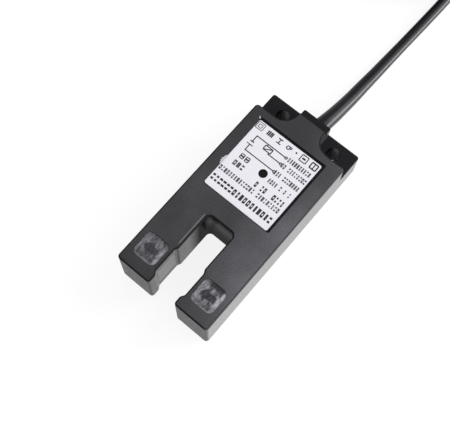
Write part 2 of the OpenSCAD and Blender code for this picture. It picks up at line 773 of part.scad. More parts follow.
// The cable's radius along its route: thickest where it leaves the housing
function relief_at(i) =
    let (far = norm(cable_route[i] - cable_route[exit_point]))
    cable_d / 2 + (relief_d - cable_d) / 2 * max(0, 1 - far / relief_l);

module cable() color("#2b2b30") tube(cable_route, concat(
    [[0, cable_d / 2], [exit_point, cable_d / 2]],
    [for (i = [exit_point : len(cable_route) - 1]) [i, relief_at(i)]]
), 8);

module cable_bushing() color("#232327") at_tips() difference() {
    translate([0, total_l, exit_z]) rotate([90, 0, 0]) cylinder(h = back_wall_t + bite, r = bushing_r - fit);
    translate([0, total_l + past, exit_z]) rotate([90, 0, 0])
        cylinder(h = back_wall_t + 3 * past, r = cable_d / 2 + fit);
}

// Leads from the cut sheath to the board, side by side. A step holds how far the lead has come
// back, and its shares of the way across and of the way up.
lead_steps = [
    [0, 0, 0], [0.4, 0, 0], [0.9, 0.02, 0.1], [1.6, 0.14, 0.5],
    [2.4, 0.3, 0.95], [3.6, 0.57, 1.2], [4.8, 0.84, 1.1], [6, 1, 1]
];
function lead_route(x, low, pad) =
    let (z = exit_z - low, rise = board_top + core_d / 2 - z)
    [for (q = lead_steps) [x + (pad - x) * q[1], sheath_end_y - q[0], z + rise * q[2]]];

module lead(x, low, pad) at_tips() plain_tube(lead_route(x, low, pad), core_d / 2, 8);

module brown_lead() color("#6b3f22") lead(-core_spread, core_low, -pad_pitch);
module black_lead() color("#18181b") lead(0, -core_high, 0);
module blue_lead() color("#2b4f93") lead(core_spread, core_low, pad_pitch);

// The coil of cable that is put away, its bare end and its ties

module at_coil() translate([coil_centre[0], coil_centre[1], 0]) children();

module cable_coil() color("#2b2b30") difference() {
    at_coil() rotate_extrude($fn = 96) polygon([
        [coil_in_r, coil_low_z], [coil_out_r, coil_low_z], [coil_out_r, coil_mid_z],
        [coil_step_r, coil_mid_z], [coil_step_r, coil_high_z], [coil_in_r, coil_high_z]
    ]);
    translate([coil_centre[0] + entry_r - turn_pitch / 2 - fit, coil_centre[1] - coil_r, -past])
        cube([turn_pitch + 3 * fit, coil_r, coil_low_z + turn_pitch + past + fit]);
}

module arc_of(r, z, tube_r, from, to) at_coil() translate([0, 0, z]) rotate([0, 0, from])
    rotate_extrude(angle = to - from, $fn = 96) translate([r, 0]) circle(tube_r, $fn = 24);

module cable_tail() color("#2b2b30") arc_of(tail_r, tail_z, cable_d / 2, tail_from, tail_to);

// A core comes out of the sheath, drops onto the turns below and follows them
core_shares = [0.001, 0.02, 0.12, 0.22, 0.32, 0.42, 0.53, 0.65, 0.77, 0.89, 0.99, 1];
function core_r(offset, settled) = tail_r + 2 * fit * settled + offset * (0.7 + 0.6 * settled);
function core_route(offset, drop) = [
    for (share = core_shares)
        let (
            angle = tail_to + (core_to - tail_to) * share,
            settled = min(1, max(0, share - 0.02) * 2.5), r = core_r(offset, settled)
        )
        [
            coil_centre[0] + r * cos(angle), coil_centre[1] + r * sin(angle),
            (tail_z - drop) * (1 - settled) + (coil_mid_z + core_d / 2) * settled
        ]
];

module core(offset, drop) plain_tube(core_route(offset, drop), core_d / 2, 8);

module brown_core() color("#6b3f22") core(-bare_spread, 0.5);
module black_core() color("#18181b") core(0, -0.7);
module blue_core() color("#2b4f93") core(bare_spread, 0.5);

module tinned_ends() color("silver") for (offset = [-bare_spread, 0, bare_spread]) {
    r = core_r(offset, 1);
    arc_of(r, coil_mid_z + core_d / 2, tinned_d / 2, core_to + 0.1, core_to + tinned_l / r * 57.3);
}

// A tie runs close around the coil's section, which is full at the top out to the radius full_r
module tie_loop(d, full_r) polygon([
    [coil_in_r - bite - d, coil_low_z - d], [coil_out_r + fit + d, coil_low_z - d],
    [coil_out_r + fit + d, coil_mid_z + d / 2], [full_r + fit + d / 2, coil_high_z + d],
    [coil_in_r - bite - d, coil_high_z + d]
]);

module coil_ties() color("#1b1b1e") at_coil() for (tie = ties) rotate([90, 0, tie[0]])
    translate([0, 0, -tie_w / 2]) linear_extrude(tie_w) difference() {
        tie_loop(tie_t, tie[1]);
        tie_loop(0, tie[1]);
    }

housing();
bottom_cover();
cover_seal();
cover_screws();
emitter_window();
receiver_window();
emitter_mark();
receiver_mark();
label();
indicator_lens();
indicator_lamp();
infrared_emitter();
photo_receiver();
emitter_holder();
receiver_holder();
circuit_board();
board_screws();
control_chip();
amplifier_chip();
driver_transistor();
voltage_regulator();
output_transistor();
smoothing_capacitor();
ceramic_capacitors();
resistors();
protection_diodes();
brown_lead();
black_lead();
blue_lead();
cable_bushing();
cable();
cable_coil();
cable_tail();
brown_core();
black_core();
blue_core();
tinned_ends();
coil_ties();
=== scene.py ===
# %% [markdown]
# # A slot photoelectric switch, dressed for a studio photograph
# The solids come from the CAD model: the housing with its two prongs, the windows, the label, the
# board inside, the cable and its coil. This script gives each of them its finish, winds the cable,
# prints the label and lights the whole. Blender works in metres, while the switch's sizes are
# written in mm. X runs across the prongs, Y from their tips to the cable, and Z up.

# %% Load the shared frame
import json
import math

import bmesh
import bpy
import numpy as np
from mathutils import Matrix, Vector


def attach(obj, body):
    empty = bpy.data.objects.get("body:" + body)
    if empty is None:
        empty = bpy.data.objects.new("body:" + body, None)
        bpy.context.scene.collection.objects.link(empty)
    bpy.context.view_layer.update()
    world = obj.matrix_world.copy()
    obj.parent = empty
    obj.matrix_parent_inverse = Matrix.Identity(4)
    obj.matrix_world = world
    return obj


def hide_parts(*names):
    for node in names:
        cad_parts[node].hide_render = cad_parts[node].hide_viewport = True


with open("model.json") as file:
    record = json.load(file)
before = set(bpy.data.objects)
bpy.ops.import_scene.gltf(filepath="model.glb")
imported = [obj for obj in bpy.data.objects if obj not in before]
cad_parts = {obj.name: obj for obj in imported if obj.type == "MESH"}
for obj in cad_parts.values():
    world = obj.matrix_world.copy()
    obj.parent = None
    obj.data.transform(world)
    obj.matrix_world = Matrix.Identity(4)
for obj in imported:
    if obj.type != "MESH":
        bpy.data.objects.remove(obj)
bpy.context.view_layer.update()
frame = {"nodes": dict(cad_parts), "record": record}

MM = 0.001

# %% [markdown]
# ## Sizes that the finishes follow
# Some finishes change from place to place, for example at the prongs' tips. Such a place could be
# typed as a number. Where the box around a solid gives it, it is read from there instead, so it
# stays right if the solid changes.

# %% Sizes read from the solids
def box_of(node):
    """The lowest and the highest corner of a CAD node, in mm."""
    corners = np.array(frame["nodes"][node].bound_box) / MM
    return [tuple(round(float(v), 2) for v in end) for end in (corners.min(axis=0), corners.max(axis=0))]


(_, TIPS_Y, _), (BODY_SIDE, _, BODY_TOP) = box_of("housing")
print("prongs' tips at Y", TIPS_Y, "side at X", BODY_SIDE, "top at Z", BODY_TOP)

# %% [markdown]
# ## Camera
# The photograph was taken from high above the prongs' side, with a long lens. Its place was found
# by fitting the housing's corners to the picture, so it is written here as numbers: a position, a
# turn, and a focal length that fits Blender's 36 mm sensor.

# %% Camera
FOCAL_PX, PHOTO_W = 860.5, 450
camera_data = bpy.data.cameras.new("studio_camera")
camera_data.sensor_width = 36
camera_data.lens = camera_data.sensor_width * FOCAL_PX / PHOTO_W
camera = bpy.data.objects.new("studio_camera", camera_data)
camera.matrix_world = Matrix((
    (0.765773, -0.611537, 0.199034, 0.04832),
    (0.642985, 0.721911, -0.255763, -0.07051),
    (0.012723, 0.323833, 0.946029, 0.25640),
    (0, 0, 0, 1),
))
bpy.context.scene.collection.objects.link(camera)
bpy.context.scene.camera = camera
print("camera", [round(v, 4) for v in camera.location], "lens", round(camera_data.lens, 2), "mm")

# %% [markdown]
# ## Node trees from a script
# Geometry Nodes and materials are both trees of nodes. Placing them by hand is how they are learnt,
# but in a script four short helpers say the same: one adds a node, one links sockets, and two open
# and close a Geometry Nodes tree.

# %% Helpers for node trees
def add(tree, kind, **values):
    """A node in the tree. A value whose name is a socket's sets that socket, others an attribute."""
    node = tree.nodes.new(kind)
    for key, value in values.items():
        label = key.replace("_", " ")
        if label in node.inputs.keys():
            node.inputs[label].default_value = value
        else:
            setattr(node, key, value)
    return node


def link(tree, *pairs):
    """Links each output to the socket beside it."""
    for output, socket in pairs:
        tree.links.new(output, socket)


def new_tree(name, inputs):
    """A Geometry Nodes tree with a geometry input, the named inputs, and a geometry output."""
    tree = bpy.data.node_groups.new(name, "GeometryNodeTree")
    tree.interface.new_socket("Geometry", in_out="INPUT", socket_type="NodeSocketGeometry")
    for label, kind, default in inputs:
        socket = tree.interface.new_socket(label, in_out="INPUT", socket_type="NodeSocket" + kind)
        if default is not None:
            socket.default_value = default
    tree.interface.new_socket("Geometry", in_out="OUTPUT", socket_type="NodeSocketGeometry")
    return tree


def finish_tree(tree, geometry, material):
    """Ends a tree in Realize Instances and Set Material."""
    realize = add(tree, "GeometryNodeRealizeInstances")
    coat = add(tree, "GeometryNodeSetMaterial")
    out = add(tree, "NodeGroupOutput")
    link(tree,
         (geometry, realize.inputs["Geometry"]),
         (realize.outputs["Geometry"], coat.inputs["Geometry"]),
         (material, coat.inputs["Material"]),
         (coat.outputs["Geometry"], out.inputs["Geometry"]))
    print(name_and_size(tree))


def name_and_size(tree):
    """A tree's name and how many nodes it has, to print."""
    return f"{tree.name}: {len(tree.nodes)} nodes"


print("helpers for trees: add, link, new_tree, finish_tree")

# %% [markdown]
# ## One sweep for every round thing that follows a path
# The cable and its three cores are all the same shape: a circle carried along a curve. A Geometry
# Nodes tree says this once, with the number of sides and the material as inputs, and the curve's
# own radius sets the thickness, so that the sheath can taper where it leaves the housing.

# %% The sweep tree
sweep_tree = new_tree("sweep along a path", [("Sides", "Int", 16), ("Material", "Material", None)])
given = add(sweep_tree, "NodeGroupInput").outputs
circle = add(sweep_tree, "GeometryNodeCurvePrimitiveCircle", Radius=1.0)
sweep = add(sweep_tree, "GeometryNodeCurveToMesh", Fill_Caps=True)
smooth = add(sweep_tree, "GeometryNodeSetShadeSmooth")
link(sweep_tree,
     (given["Sides"], circle.inputs["Resolution"]),
     (given["Geometry"], sweep.inputs["Curve"]),
     (circle.outputs["Curve"], sweep.inputs["Profile Curve"]),
     (add(sweep_tree, "GeometryNodeInputRadius").outputs["Radius"], sweep.inputs["Scale"]),
     (sweep.outputs["Mesh"], smooth.inputs["Geometry"]))
finish_tree(sweep_tree, smooth.outputs["Geometry"], given["Material"])

# %% [markdown]
# A tree works on an object as a modifier, and its result exists only while Blender evaluates it.
# The finished pieces should be plain meshes, so the result is taken as a new mesh each time and the
# object with the modifier goes away. Applying the modifier by hand would end the same way.

# %% From a tree to a plain mesh
def in_scene(name, data):
    """A new object with that data, linked to the scene."""
    piece = bpy.data.objects.new(name, data)
    bpy.context.scene.collection.objects.link(piece)
    return piece


def plain_copy(name, source):
    """What an object's modifiers make of it, as a new plain object. The source goes away."""
    depsgraph = bpy.context.evaluated_depsgraph_get()
    mesh = bpy.data.meshes.new_from_object(source.evaluated_get(depsgraph))
    bpy.data.objects.remove(source)
    mesh.name = name
    return in_scene(name, mesh)


def grown(name, source, tree, values):
    """The mesh that a tree grows from an object, as a new plain object."""
    modifier = source.modifiers.new("grow", "NODES")
    modifier.node_group = tree
    for item in tree.interface.items_tree:
        if item.item_type == "SOCKET" and item.in_out == "INPUT" and item.name in values:
            modifier[item.identifier] = values[item.name]
    return plain_copy(name, source)


def swept(name, path_mm, radii_mm, sides, material):
    """A round tube along a path given in mm."""
    curve = bpy.data.curves.new(name + "_path", "CURVE")
    curve.dimensions = "3D"
    spline = curve.splines.new("POLY")
    spline.points.add(len(path_mm) - 1)
    for point, place, radius in zip(spline.points, path_mm, radii_mm):
        point.co = (*(Vector(place) * MM), 1)
        point.radius = radius * MM
    source = in_scene(name + "_path", curve)
    piece = grown(name, source, sweep_tree, {"Sides": sides, "Material": material})
    print(f"{name}: {len(path_mm)} points, {len(piece.data.polygons)} faces")
    return piece


print("helpers for meshes: in_scene, plain_copy, grown, swept")

# %% [markdown]
# ## Finishes
# Moulded plastic looks alive through three small things: a fine grain in the surface, a slight
# change of gloss from place to place, and a colour that isn't perfectly even. A photograph of the
# plastic could give all three, but noise on Object coordinates does so at any size and without a
# seam, so every finish here is built from it. First come the colours.

# %% Colours
def linear(*srgb):
    """A colour as seen on a screen, 0 to 255, as the linear values that shaders take."""
    return [(v / 255 / 12.92) if v <= 10 else ((v / 255 + 0.055) / 1.055) ** 2.4 for v in srgb] + [1.0]


def grey(value, blue=0):
    """A grey as seen on a screen, with a little more blue, or less."""
    return linear(value, value, value + blue)


def shade(colour, factor):
    """A colour made darker or paler by a factor."""
    return [min(1.0, v * factor) for v in colour[:3]] + [1.0]


print("a middle grey in linear values:", [round(v, 3) for v in grey(128)])

# %% [markdown]
# A material is worked out from numbers that change over the surface. These helpers make such a
# number from noise or from a coordinate, turn it into a colour, and feed it to the shader.

# %% Numbers and colours that change over a surface
def feed(tree, socket, value):
    """Gives a socket its value, which is another socket, a number or a colour."""
    if isinstance(value, bpy.types.NodeSocket):
        tree.links.new(value, socket)
    else:
        socket.default_value = value


def worked(tree, operation, *values):
    """The result of one math node."""
    node = add(tree, "ShaderNodeMath", operation=operation)
    for socket, value in zip(node.inputs, values):
        feed(tree, socket, value)
    return node.outputs[0]


def product(tree, *values):
    """The product of several values."""
    result = values[0]
    for value in values[1:]:
        result = worked(tree, "MULTIPLY", result, value)
    return result


def noise(tree, place, size_mm, detail=3.0):
    """Noise whose spots are about size_mm across."""
    node = add(tree, "ShaderNodeTexNoise", Scale=1 / (size_mm * MM), Detail=detail)
    tree.links.new(place, node.inputs["Vector"])
    return node.outputs["Fac"]


def span(tree, value, low, high, source=(0.3, 0.7)):
    """A number that goes from low to high while a value runs through the source range."""
    node = add(tree, "ShaderNodeMapRange", From_Min=source[0], From_Max=source[1], To_Min=low, To_Max=high)
    tree.links.new(value, node.inputs["Value"])
    return node.outputs["Result"]


def band(tree, coordinate, places, low=0, high=1, origin=0):
    """A number that goes from low to high between two places, given in mm from an origin."""
    return span(tree, coordinate, low, high, tuple((origin + place) * MM for place in places))


def rest_of(tree, share):
    """1 where a share is 0, and 0 where it is 1."""
    return span(tree, share, 1, 0, (0, 1))


def ramp(tree, value, low, high, at=(0.35, 0.65)):
    """A colour between low and high, by a value."""
    node = add(tree, "ShaderNodeValToRGB")
    for element, colour, where in zip(node.color_ramp.elements, (low, high), at):
        element.color = colour
        element.position = where
    tree.links.new(value, node.inputs["Fac"])
    return node.outputs["Color"]


def blended(tree, share, low, high):
    """The colour low where share is 0, and high where it is 1. Each is a colour or a socket."""
    node = add(tree, "ShaderNodeMix", data_type="RGBA")
    for socket, value in ((node.inputs[0], share), (node.inputs[6], low), (node.inputs[7], high)):
        feed(tree, socket, value)
    return node.outputs[2]


print("spots of 1 mm need a noise scale of", round(1 / MM))

# %% [markdown]
# ## Plain finishes
# Most materials here are the same idea with other numbers: a colour and a gloss that change a
# little in patches of a few millimetres, and a fine grain as a bump. One function builds them, with
# the colour, the roughness and the grain's size and height as its inputs.

# %% A new material and its shader
def axes(tree, place):
    """The three coordinates of a place, as sockets."""
    parts = add(tree, "ShaderNodeSeparateXYZ")
    tree.links.new(place, parts.inputs["Vector"])
    return parts.outputs["X"], parts.outputs["Y"], parts.outputs["Z"]


def new_material(name):
    """A material with its node tree and the Object coordinates."""
    material = bpy.data.materials.new(name)
    material.use_nodes = True
    tree = material.node_tree
    return material, tree, add(tree, "ShaderNodeTexCoord").outputs["Object"]


def dress(tree, **values):
    """Feeds the shader's inputs by their names."""
    shader = tree.nodes["Principled BSDF"]
    for key, value in values.items():
        feed(tree, shader.inputs[key.replace("_", " ")], value)


def grained(tree, grain, height_mm, strength=1):
    """The bump of a grain."""
    bump = add(tree, "ShaderNodeBump", Distance=height_mm * MM, Strength=strength)
    tree.links.new(grain, bump.inputs["Height"])
    return bump.outputs["Normal"]


PATCH_MM, GLOSS_SPREAD = 6, 0.08
finishes = {}


def finish(name, screen_colour, rough, grain_mm, grain_height_mm, uneven=0.12, **sockets):
    """A finish with uneven colour and gloss and a fine grain. It is also kept by its name."""
    material, tree, place = new_material(name)
    colour = linear(*screen_colour)
    patches = noise(tree, place, PATCH_MM)
    dress(
        tree,
        Base_Color=ramp(tree, patches, shade(colour, 1 - uneven), shade(colour, 1 + uneven)),
        Roughness=span(tree, patches, rough * (1 - GLOSS_SPREAD), rough * (1 + GLOSS_SPREAD)),
        Normal=grained(tree, noise(tree, place, grain_mm), grain_height_mm),
        **sockets,
    )
    finishes[name] = material
    return material


finish("core_brown", (104, 62, 38), 0.32, 0.5, 0.002)
finish("core_black", (24, 24, 27), 0.32, 0.5, 0.002)
finish("core_blue", (44, 84, 160), 0.32, 0.5, 0.002)
finish("tinned_wire", (200, 200, 204), 0.3, 0.2, 0.004, Metallic=1)
finish("tie", (32, 32, 34), 0.4, 0.3, 0.003)
print("first finishes:", ", ".join(finishes))

# %% [markdown]
# ## The sheath's finish
# A cable's sheath is soft black plastic. A clear coat on the side that faces the low side light puts a
# painted highlight there. The coat's weight follows the direction that the surface faces, so the
# painted highlight stays on one side all along the cable.

# %% The sheath's finish
sheath_finish = finish("sheath", (25, 26, 30), 0.3, 0.6, 0.006, Specular_IOR_Level=0.2, Coat_Roughness=0.3)
tree = sheath_finish.node_tree
facing_x, _, _ = axes(tree, add(tree, "ShaderNodeNewGeometry").outputs["Normal"])
# Painted highlight: the coat lies only on the side facing +X, towards the side light
dress(tree, Coat_Weight=span(tree, facing_x, 0, 0.6, (0.4, 0.68)))
print("sheath:", len(tree.nodes), "nodes")

# %% [markdown]
# ## Cable
# The cable leaves the housing thick, tapers within a few centimetres, sinks onto the table and
# runs out of the picture to its coil. Up to the coil its route is a short list of points with a
# smooth curve through them. They lie close to the CAD model's points, and where the photograph
# shows the cable they follow it. A simulated rope could lie there too, but a list gives the same
# cable each time.

# %% The cable's route out of the housing
EXIT = (0, 36.6, 5.4)
ROUTE = [
    (0, 27.4, 5.4), EXIT, (0.07, 37.4, 5.4), (0.6, 40.5, 5.2), (0.96, 44, 4.6), (1.24, 49, 3.7),
    (1.44, 54, 2.9), (1.58, 60, 2.35), (1.86, 67, 2.1), (2.15, 75, 2), (2.5, 84, 1.95), (2.9, 94, 1.95),
    (3.2, 104, 1.95), (3.3, 112, 2.1), (3.25, 119, 2.4), (3.25, 124.4, 2.55),
]


def smooth_path(points, step_mm=1.5):
    """Points along a smooth curve through the given ones."""
    p = np.array(points, float)
    at = np.r_[0, np.cumsum(np.linalg.norm(np.diff(p, axis=0), axis=1))]
    slope = np.gradient(p, at, axis=0)
    out = []
    for i in range(len(p) - 1):
        gap = at[i + 1] - at[i]
        for u in np.linspace(0, 1, max(2, int(gap / step_mm) + 1), endpoint=False):
            out.append(
                (2 * u**3 - 3 * u**2 + 1) * p[i] + (u**3 - 2 * u**2 + u) * gap * slope[i]
                + (3 * u**2 - 2 * u**3) * p[i + 1] + (u**3 - u**2) * gap * slope[i + 1]
            )
    return [tuple(float(v) for v in q) for q in out + [p[-1]]]


straight = smooth_path(ROUTE)
print("route out of the housing:", len(ROUTE), "points by hand,", len(straight), "on the curve")

# %% [markdown]
# The rest of its two metres is wound into a tied coil, in layers like thread on a bobbin: each turn
# moves one cable's width at its end, and each full layer climbs onto the one below. Every change
# takes a quarter turn, so the list below only says where a change starts and how large it is.

# %% The coil's turns
CABLE_D, CABLE_LENGTH = 3.8, 2000
PITCH, COIL_CENTRE, OUTER_R, FIRST_Z = 3.9, (-25.1, 125), 28.35, 2.55
TURN, QUARTER = 360, 90
TAIL_FROM_ANGLE, TAIL_TO_ANGLE, ANGLE_STEP = 4800, 4860, 7.5


def layer(start_angle, turns, way):
    """Changes of one layer: a step in (-1) or out (1) at the end of each turn."""
    return [(start_angle + TURN * k, "out", way * PITCH) for k in range(turns)]


# Each change is: the angle where it starts, what changes, and by how much
changes = (
    layer(270, 3, -1) + [(1260, "up", PITCH)]
    + layer(1530, 3, 1) + [(2520, "up", PITCH)]
    + layer(2790, 3, -1) + [(3780, "up", PITCH)]
    + layer(4050, 2, 1)
    + [(TAIL_FROM_ANGLE - QUARTER, "out", PITCH), (TAIL_FROM_ANGLE - QUARTER, "up", -0.05)]
)


def eased(share):
    """A share from 0 to 1 that starts and ends gently."""
    share = min(1, max(0, share))
    return share * share * (3 - 2 * share)


def changed(kind, angle):
    """The sum of one kind of change up to an angle."""
    return sum(by * eased((angle - start) / QUARTER) for start, what, by in changes if what == kind)


def coil_point(angle):
    """Where the cable's middle is after so many degrees around the coil."""
    r = OUTER_R + changed("out", angle)
    turn = math.radians(angle)
    x, y = COIL_CENTRE[0] + r * math.cos(turn), COIL_CENTRE[1] + r * math.sin(turn)
    return (x, y, FIRST_Z + changed("up", angle))


coil = [coil_point(angle) for angle in np.arange(0, TAIL_TO_ANGLE + 0.1, ANGLE_STEP)]
cable_path = straight + coil
steps = np.linalg.norm(np.diff(np.array(cable_path), axis=0), axis=1)
print("cable:", round(float(steps.sum())), "mm,", round(TAIL_TO_ANGLE / TURN, 1), "turns")

# %% [markdown]
# At the housing the sheath is thickened against bending, so its radius falls along the first
# centimetres. The thick part starts just inside the back wall, where it can't be seen.

# %% The sheath
IN_WALL = 1.4
SLEEVE_AWAY = (0, 5, 8.5, 12, 19, 30, 45)
SLEEVE_R = (2.75, 2.72, 2.6, 2.48, 2.34, 2.1, CABLE_D / 2)


def cable_radius(place):
    """Half the sheath's thickness: full where it leaves the back wall, and thin further inside."""
    if place[1] < EXIT[1] - IN_WALL:
        return CABLE_D / 2
    return float(np.interp(math.dist(place, EXIT), SLEEVE_AWAY, SLEEVE_R))


sheath = swept("sheath", cable_path, [cable_radius(q) for q in cable_path], 16, finishes["sheath"])

# %% [markdown]
# ## Cores
# The far end is stripped: three thin cores come out of the sheath, drop onto the turns below and
# follow them side by side. They are swept by the same tree as the sheath, on paths worked out from
# the coil, and end in the CAD model's tinned wires.

# %% Cores, and the cord as a whole
TAIL_R, TAIL_Z, CORE_D, LAYER_TOP_Z = 28.35, 14.2, 1.2, 12.3
CORE_FROM_ANGLE, CORE_TO_ANGLE = 180, 250
BARE_SPREAD = 1.02


def core_path(offset, drop):
    """A core comes out of the sheath, drops onto the turns below and follows them."""
    path = []
    for share in np.r_[0.001, 0.02, np.linspace(0.06, 1, 24)]:
        angle = math.radians(CORE_FROM_ANGLE + (CORE_TO_ANGLE - CORE_FROM_ANGLE) * share)
        settled = min(1, max(0, share - 0.02) * 2.5)
        r = TAIL_R + 0.1 * settled + offset * (0.7 + 0.6 * settled)
        z = (TAIL_Z - drop) * (1 - settled) + (LAYER_TOP_Z + CORE_D / 2) * settled
        path.append((COIL_CENTRE[0] + r * math.cos(angle), COIL_CENTRE[1] + r * math.sin(angle), z))
    return path


on_cable = []
for colour, offset, drop in (("brown", -BARE_SPREAD, 0.5), ("black", 0, -0.7), ("blue", BARE_SPREAD, 0.5)):
    path = core_path(offset, drop)
    insulation = swept(colour + "_insulation", path, [CORE_D / 2] * len(path), 12, finishes["core_" + colour])
    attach(insulation, "root")
    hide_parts(colour + "_core")
    on_cable.append(insulation)

on_cable += [frame["nodes"]["tinned_ends"], frame["nodes"]["coil_ties"]]
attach(sheath, "root")
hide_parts("cable", "cable_coil", "cable_tail")
print("on the cable:", [piece.name for piece in on_cable])

# %% [markdown]
# ## Housing
# The housing is one moulding. The CAD mesh has the right shape, but its arcs are made of flats, so
# a copy is merged and shaded smooth, and a weighted normal keeps the broad faces flat. Rounding the
# edges again with a bevel would change the shape, while this only changes how it is lit.

# %% Smooth copy of a CAD node
MERGE_M = 2e-6


def smooth_copy(name, node, sharp_degrees=33):
    """A CAD node's shape as one merged mesh, smooth across small angles and sharp at large ones."""
    mesh = frame["nodes"][node].data.copy()
    mesh.name = name
    work = bmesh.new()
    work.from_mesh(mesh)
    bmesh.ops.remove_doubles(work, verts=work.verts, dist=MERGE_M)
    for face in work.faces:
        face.smooth = True
    for edge in work.edges:
        edge.smooth = len(edge.link_faces) == 2 and edge.calc_face_angle(0) < math.radians(sharp_degrees)
    work.to_mesh(mesh)
    work.free()
    source = in_scene(name, mesh)
    weigh = source.modifiers.new("weigh", "WEIGHTED_NORMAL")
    weigh.keep_sharp = True
    piece = plain_copy(name, source)
    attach(piece, "root")
    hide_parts(node)
    return piece


def paint(piece, material):
    """Gives a piece or a CAD node one material in all its slots."""
    if not piece.data.materials:
        piece.data.materials.append(material)
    for slot in piece.material_slots:
        slot.material = material


housing = smooth_copy("housing_shell", "housing")
print("housing shell:", len(housing.data.polygons), "faces")

# %% [markdown]
# ## The housing's top
# The top is finely eroded and mottled. Painted light makes it paler to the right, where the light
# comes from, painted shade darkens it at the tips and towards the cable, and a painted highlight runs
# as a pale line beside the slot on the left prong. Each of these could be painted on a picture of the
# top. Here each is a colour blended in by the place on the top, which needs no picture and stays sharp
# at any size.

# %% Finish of the top
# Across the top, from the middle: where painted light makes it pale, and the painted highlight line's two
# sides
PALE, HIGHLIGHT_LEFT, HIGHLIGHT_RIGHT, HIGHLIGHT_SHARE = (2, 17), (-6.15, -5.85), (-5.75, -5.55), 0.45
# Along the top, from the tips: the ends with painted shade, and the painted highlight line's two ends
SHADE_AT_TIPS, SHADE_AT_CABLE, HIGHLIGHT_START, HIGHLIGHT_END = (0, 16), (38, 56), (14, 15), (25.5, 26.5)


def housing_top():
    """The mottled top, with painted light on the right, painted shade at its ends and a painted highlight
    line beside the slot.
    """
    material, tree, place = new_material("housing_top")
    across, along, _ = axes(tree, place)
    grain = noise(tree, place, 0.3, 4)
    mottle = worked(tree, "MULTIPLY_ADD", grain, 0.7, span(tree, noise(tree, place, 7), 0.1, 0.2))
    dark = ramp(tree, mottle, grey(40, 3), grey(70, 5), (0.4, 0.65))
    pale = ramp(tree, mottle, linear(74, 75, 79), grey(112, 6), (0.4, 0.65))
    # Painted light: the top turns paler to the right, where the light comes from
    colour = blended(tree, band(tree, across, PALE), dark, pale)
    # Painted shade: the top darkens at the tips and towards the cable
    for places, low, high in ((SHADE_AT_TIPS, 0.5, 0), (SHADE_AT_CABLE, 0, 0.55)):
        colour = blended(tree, band(tree, along, places, low, high, TIPS_Y), colour, grey(24, 2))
    # Painted highlight: a pale line beside the slot on the left prong, where the edge catches the light
    painted_highlight = product(
        tree, band(tree, across, HIGHLIGHT_LEFT, 0, HIGHLIGHT_SHARE), band(tree, across, HIGHLIGHT_RIGHT, 1, 0),
        band(tree, along, HIGHLIGHT_START, 0, 1, TIPS_Y), band(tree, along, HIGHLIGHT_END, 1, 0, TIPS_Y),
    )
    dress(
        tree, Base_Color=blended(tree, painted_highlight, colour, grey(150, 4)),
        Roughness=span(tree, grain, 0.52, 0.68), Normal=grained(tree, grain, 0.012),
    )
    return material


top_finish = housing_top()
print("top:", len(top_finish.node_tree.nodes), "nodes")

# %% [markdown]
# ## The housing's walls
# The walls are smoother than the top and shine at a flat angle. The shine fades at the tips, along
# the top edge, in the slot's end, on the slope behind each recess and behind the body. It is made
# as a coat whose weight falls there, because a weight may vary over a surface and still be baked,
# while a varying specular level would be lost.

# %% Gloss of the walls
EDGE_R, BODY_BACK = 0.5, 64 + TIPS_Y
EDGE_Z = BODY_TOP - EDGE_R
SLOT_END, RECESS_END = 27 + TIPS_Y, 12.3 + TIPS_Y
# From the middle: the slot's sides. From the tips and from the edge's start: where the coat fades
SLOT_SIDES, TIPS_FADE, EDGE_FADES = (5.2, 5.6), (0.3, 0.8), (-0.16, 0.02)
# From the slot's end: where the painted shade grows, and where it stops within the end wall
DARK_GROWS, DARK_STOPS, DARK_SHARE = (-9, -4.5), (0.5, 0.6), 0.84
# From the recess's end: where the slope's dullness rises, and where it falls again
SLOPE_DULLS, SLOPE_ENDS = (0.45, 0.65), (0.65, 1.2)
JUST = 0.05
AT_STEP = (-JUST, JUST)


def in_slot(tree, across):
    """1 between the prongs, and 0 outside them, alike on the left and on the right."""
    return band(tree, worked(tree, "ABSOLUTE", across), SLOT_SIDES, 1, 0)


def slot_shade(tree, across, along):
    """How far a place lies in the slot's end with painted shade: 0 in front of it, and DARK_SHARE at the end.
    """
    return product(
        tree, in_slot(tree, across), band(tree, along, DARK_GROWS, 0, DARK_SHARE, SLOT_END),
        band(tree, along, DARK_STOPS, 1, 0, SLOT_END),
    )


def wall_gloss(tree, grain, across, along, height):
    """The weight of the walls' coat."""
    below_edge = band(tree, height, EDGE_FADES, 1, 0.1, EDGE_Z)
    ahead = band(tree, along, AT_STEP, 1, 0.08, BODY_BACK)
    tips = band(tree, along, TIPS_FADE, 0.6, 1, TIPS_Y)
    slope = product(
        tree, in_slot(tree, across), band(tree, along, SLOPE_DULLS, 0, 1, RECESS_END),
        band(tree, along, SLOPE_ENDS, 0.6, 0, RECESS_END),
    )
    return product(
        tree, span(tree, grain, 0.6, 1.05, (0.36, 0.62)), below_edge, ahead,
        rest_of(tree, slot_shade(tree, across, along)), tips, rest_of(tree, slope),
    )


print("slot's end at Y", round(SLOT_END, 2), "back of the body at Y", round(BODY_BACK, 2))

# %% [markdown]
# The colour of the walls carries painted light and shade where little light reaches. In the slot's
# end painted shade falls off to dark at the top and at the bottom, with a painted highlight band
# between. The flange and the cable block behind the body are darker, and one side of each mounting
# hole has painted shade while its other side has painted light. The scene's lights could give some of
# this, but the switch is to look the same in other scenes too, so it is in the colour.

# %% Colours of the walls
HOLE_X, HOLE_Y, HOLE_R = 10, 68.8 + TIPS_Y, 2.25
# The holes' upper rim by its height, and all round by what it adds to the radius
HOLE_RIM_Z, HOLE_RIM = (9.1, 9.3), (JUST, 0.2)
# From a hole's middle to the right: where its light rises, and where it falls again
LIT_RISE, LIT_FALL = (-1.5, -0.1), (0.4, 1.8)


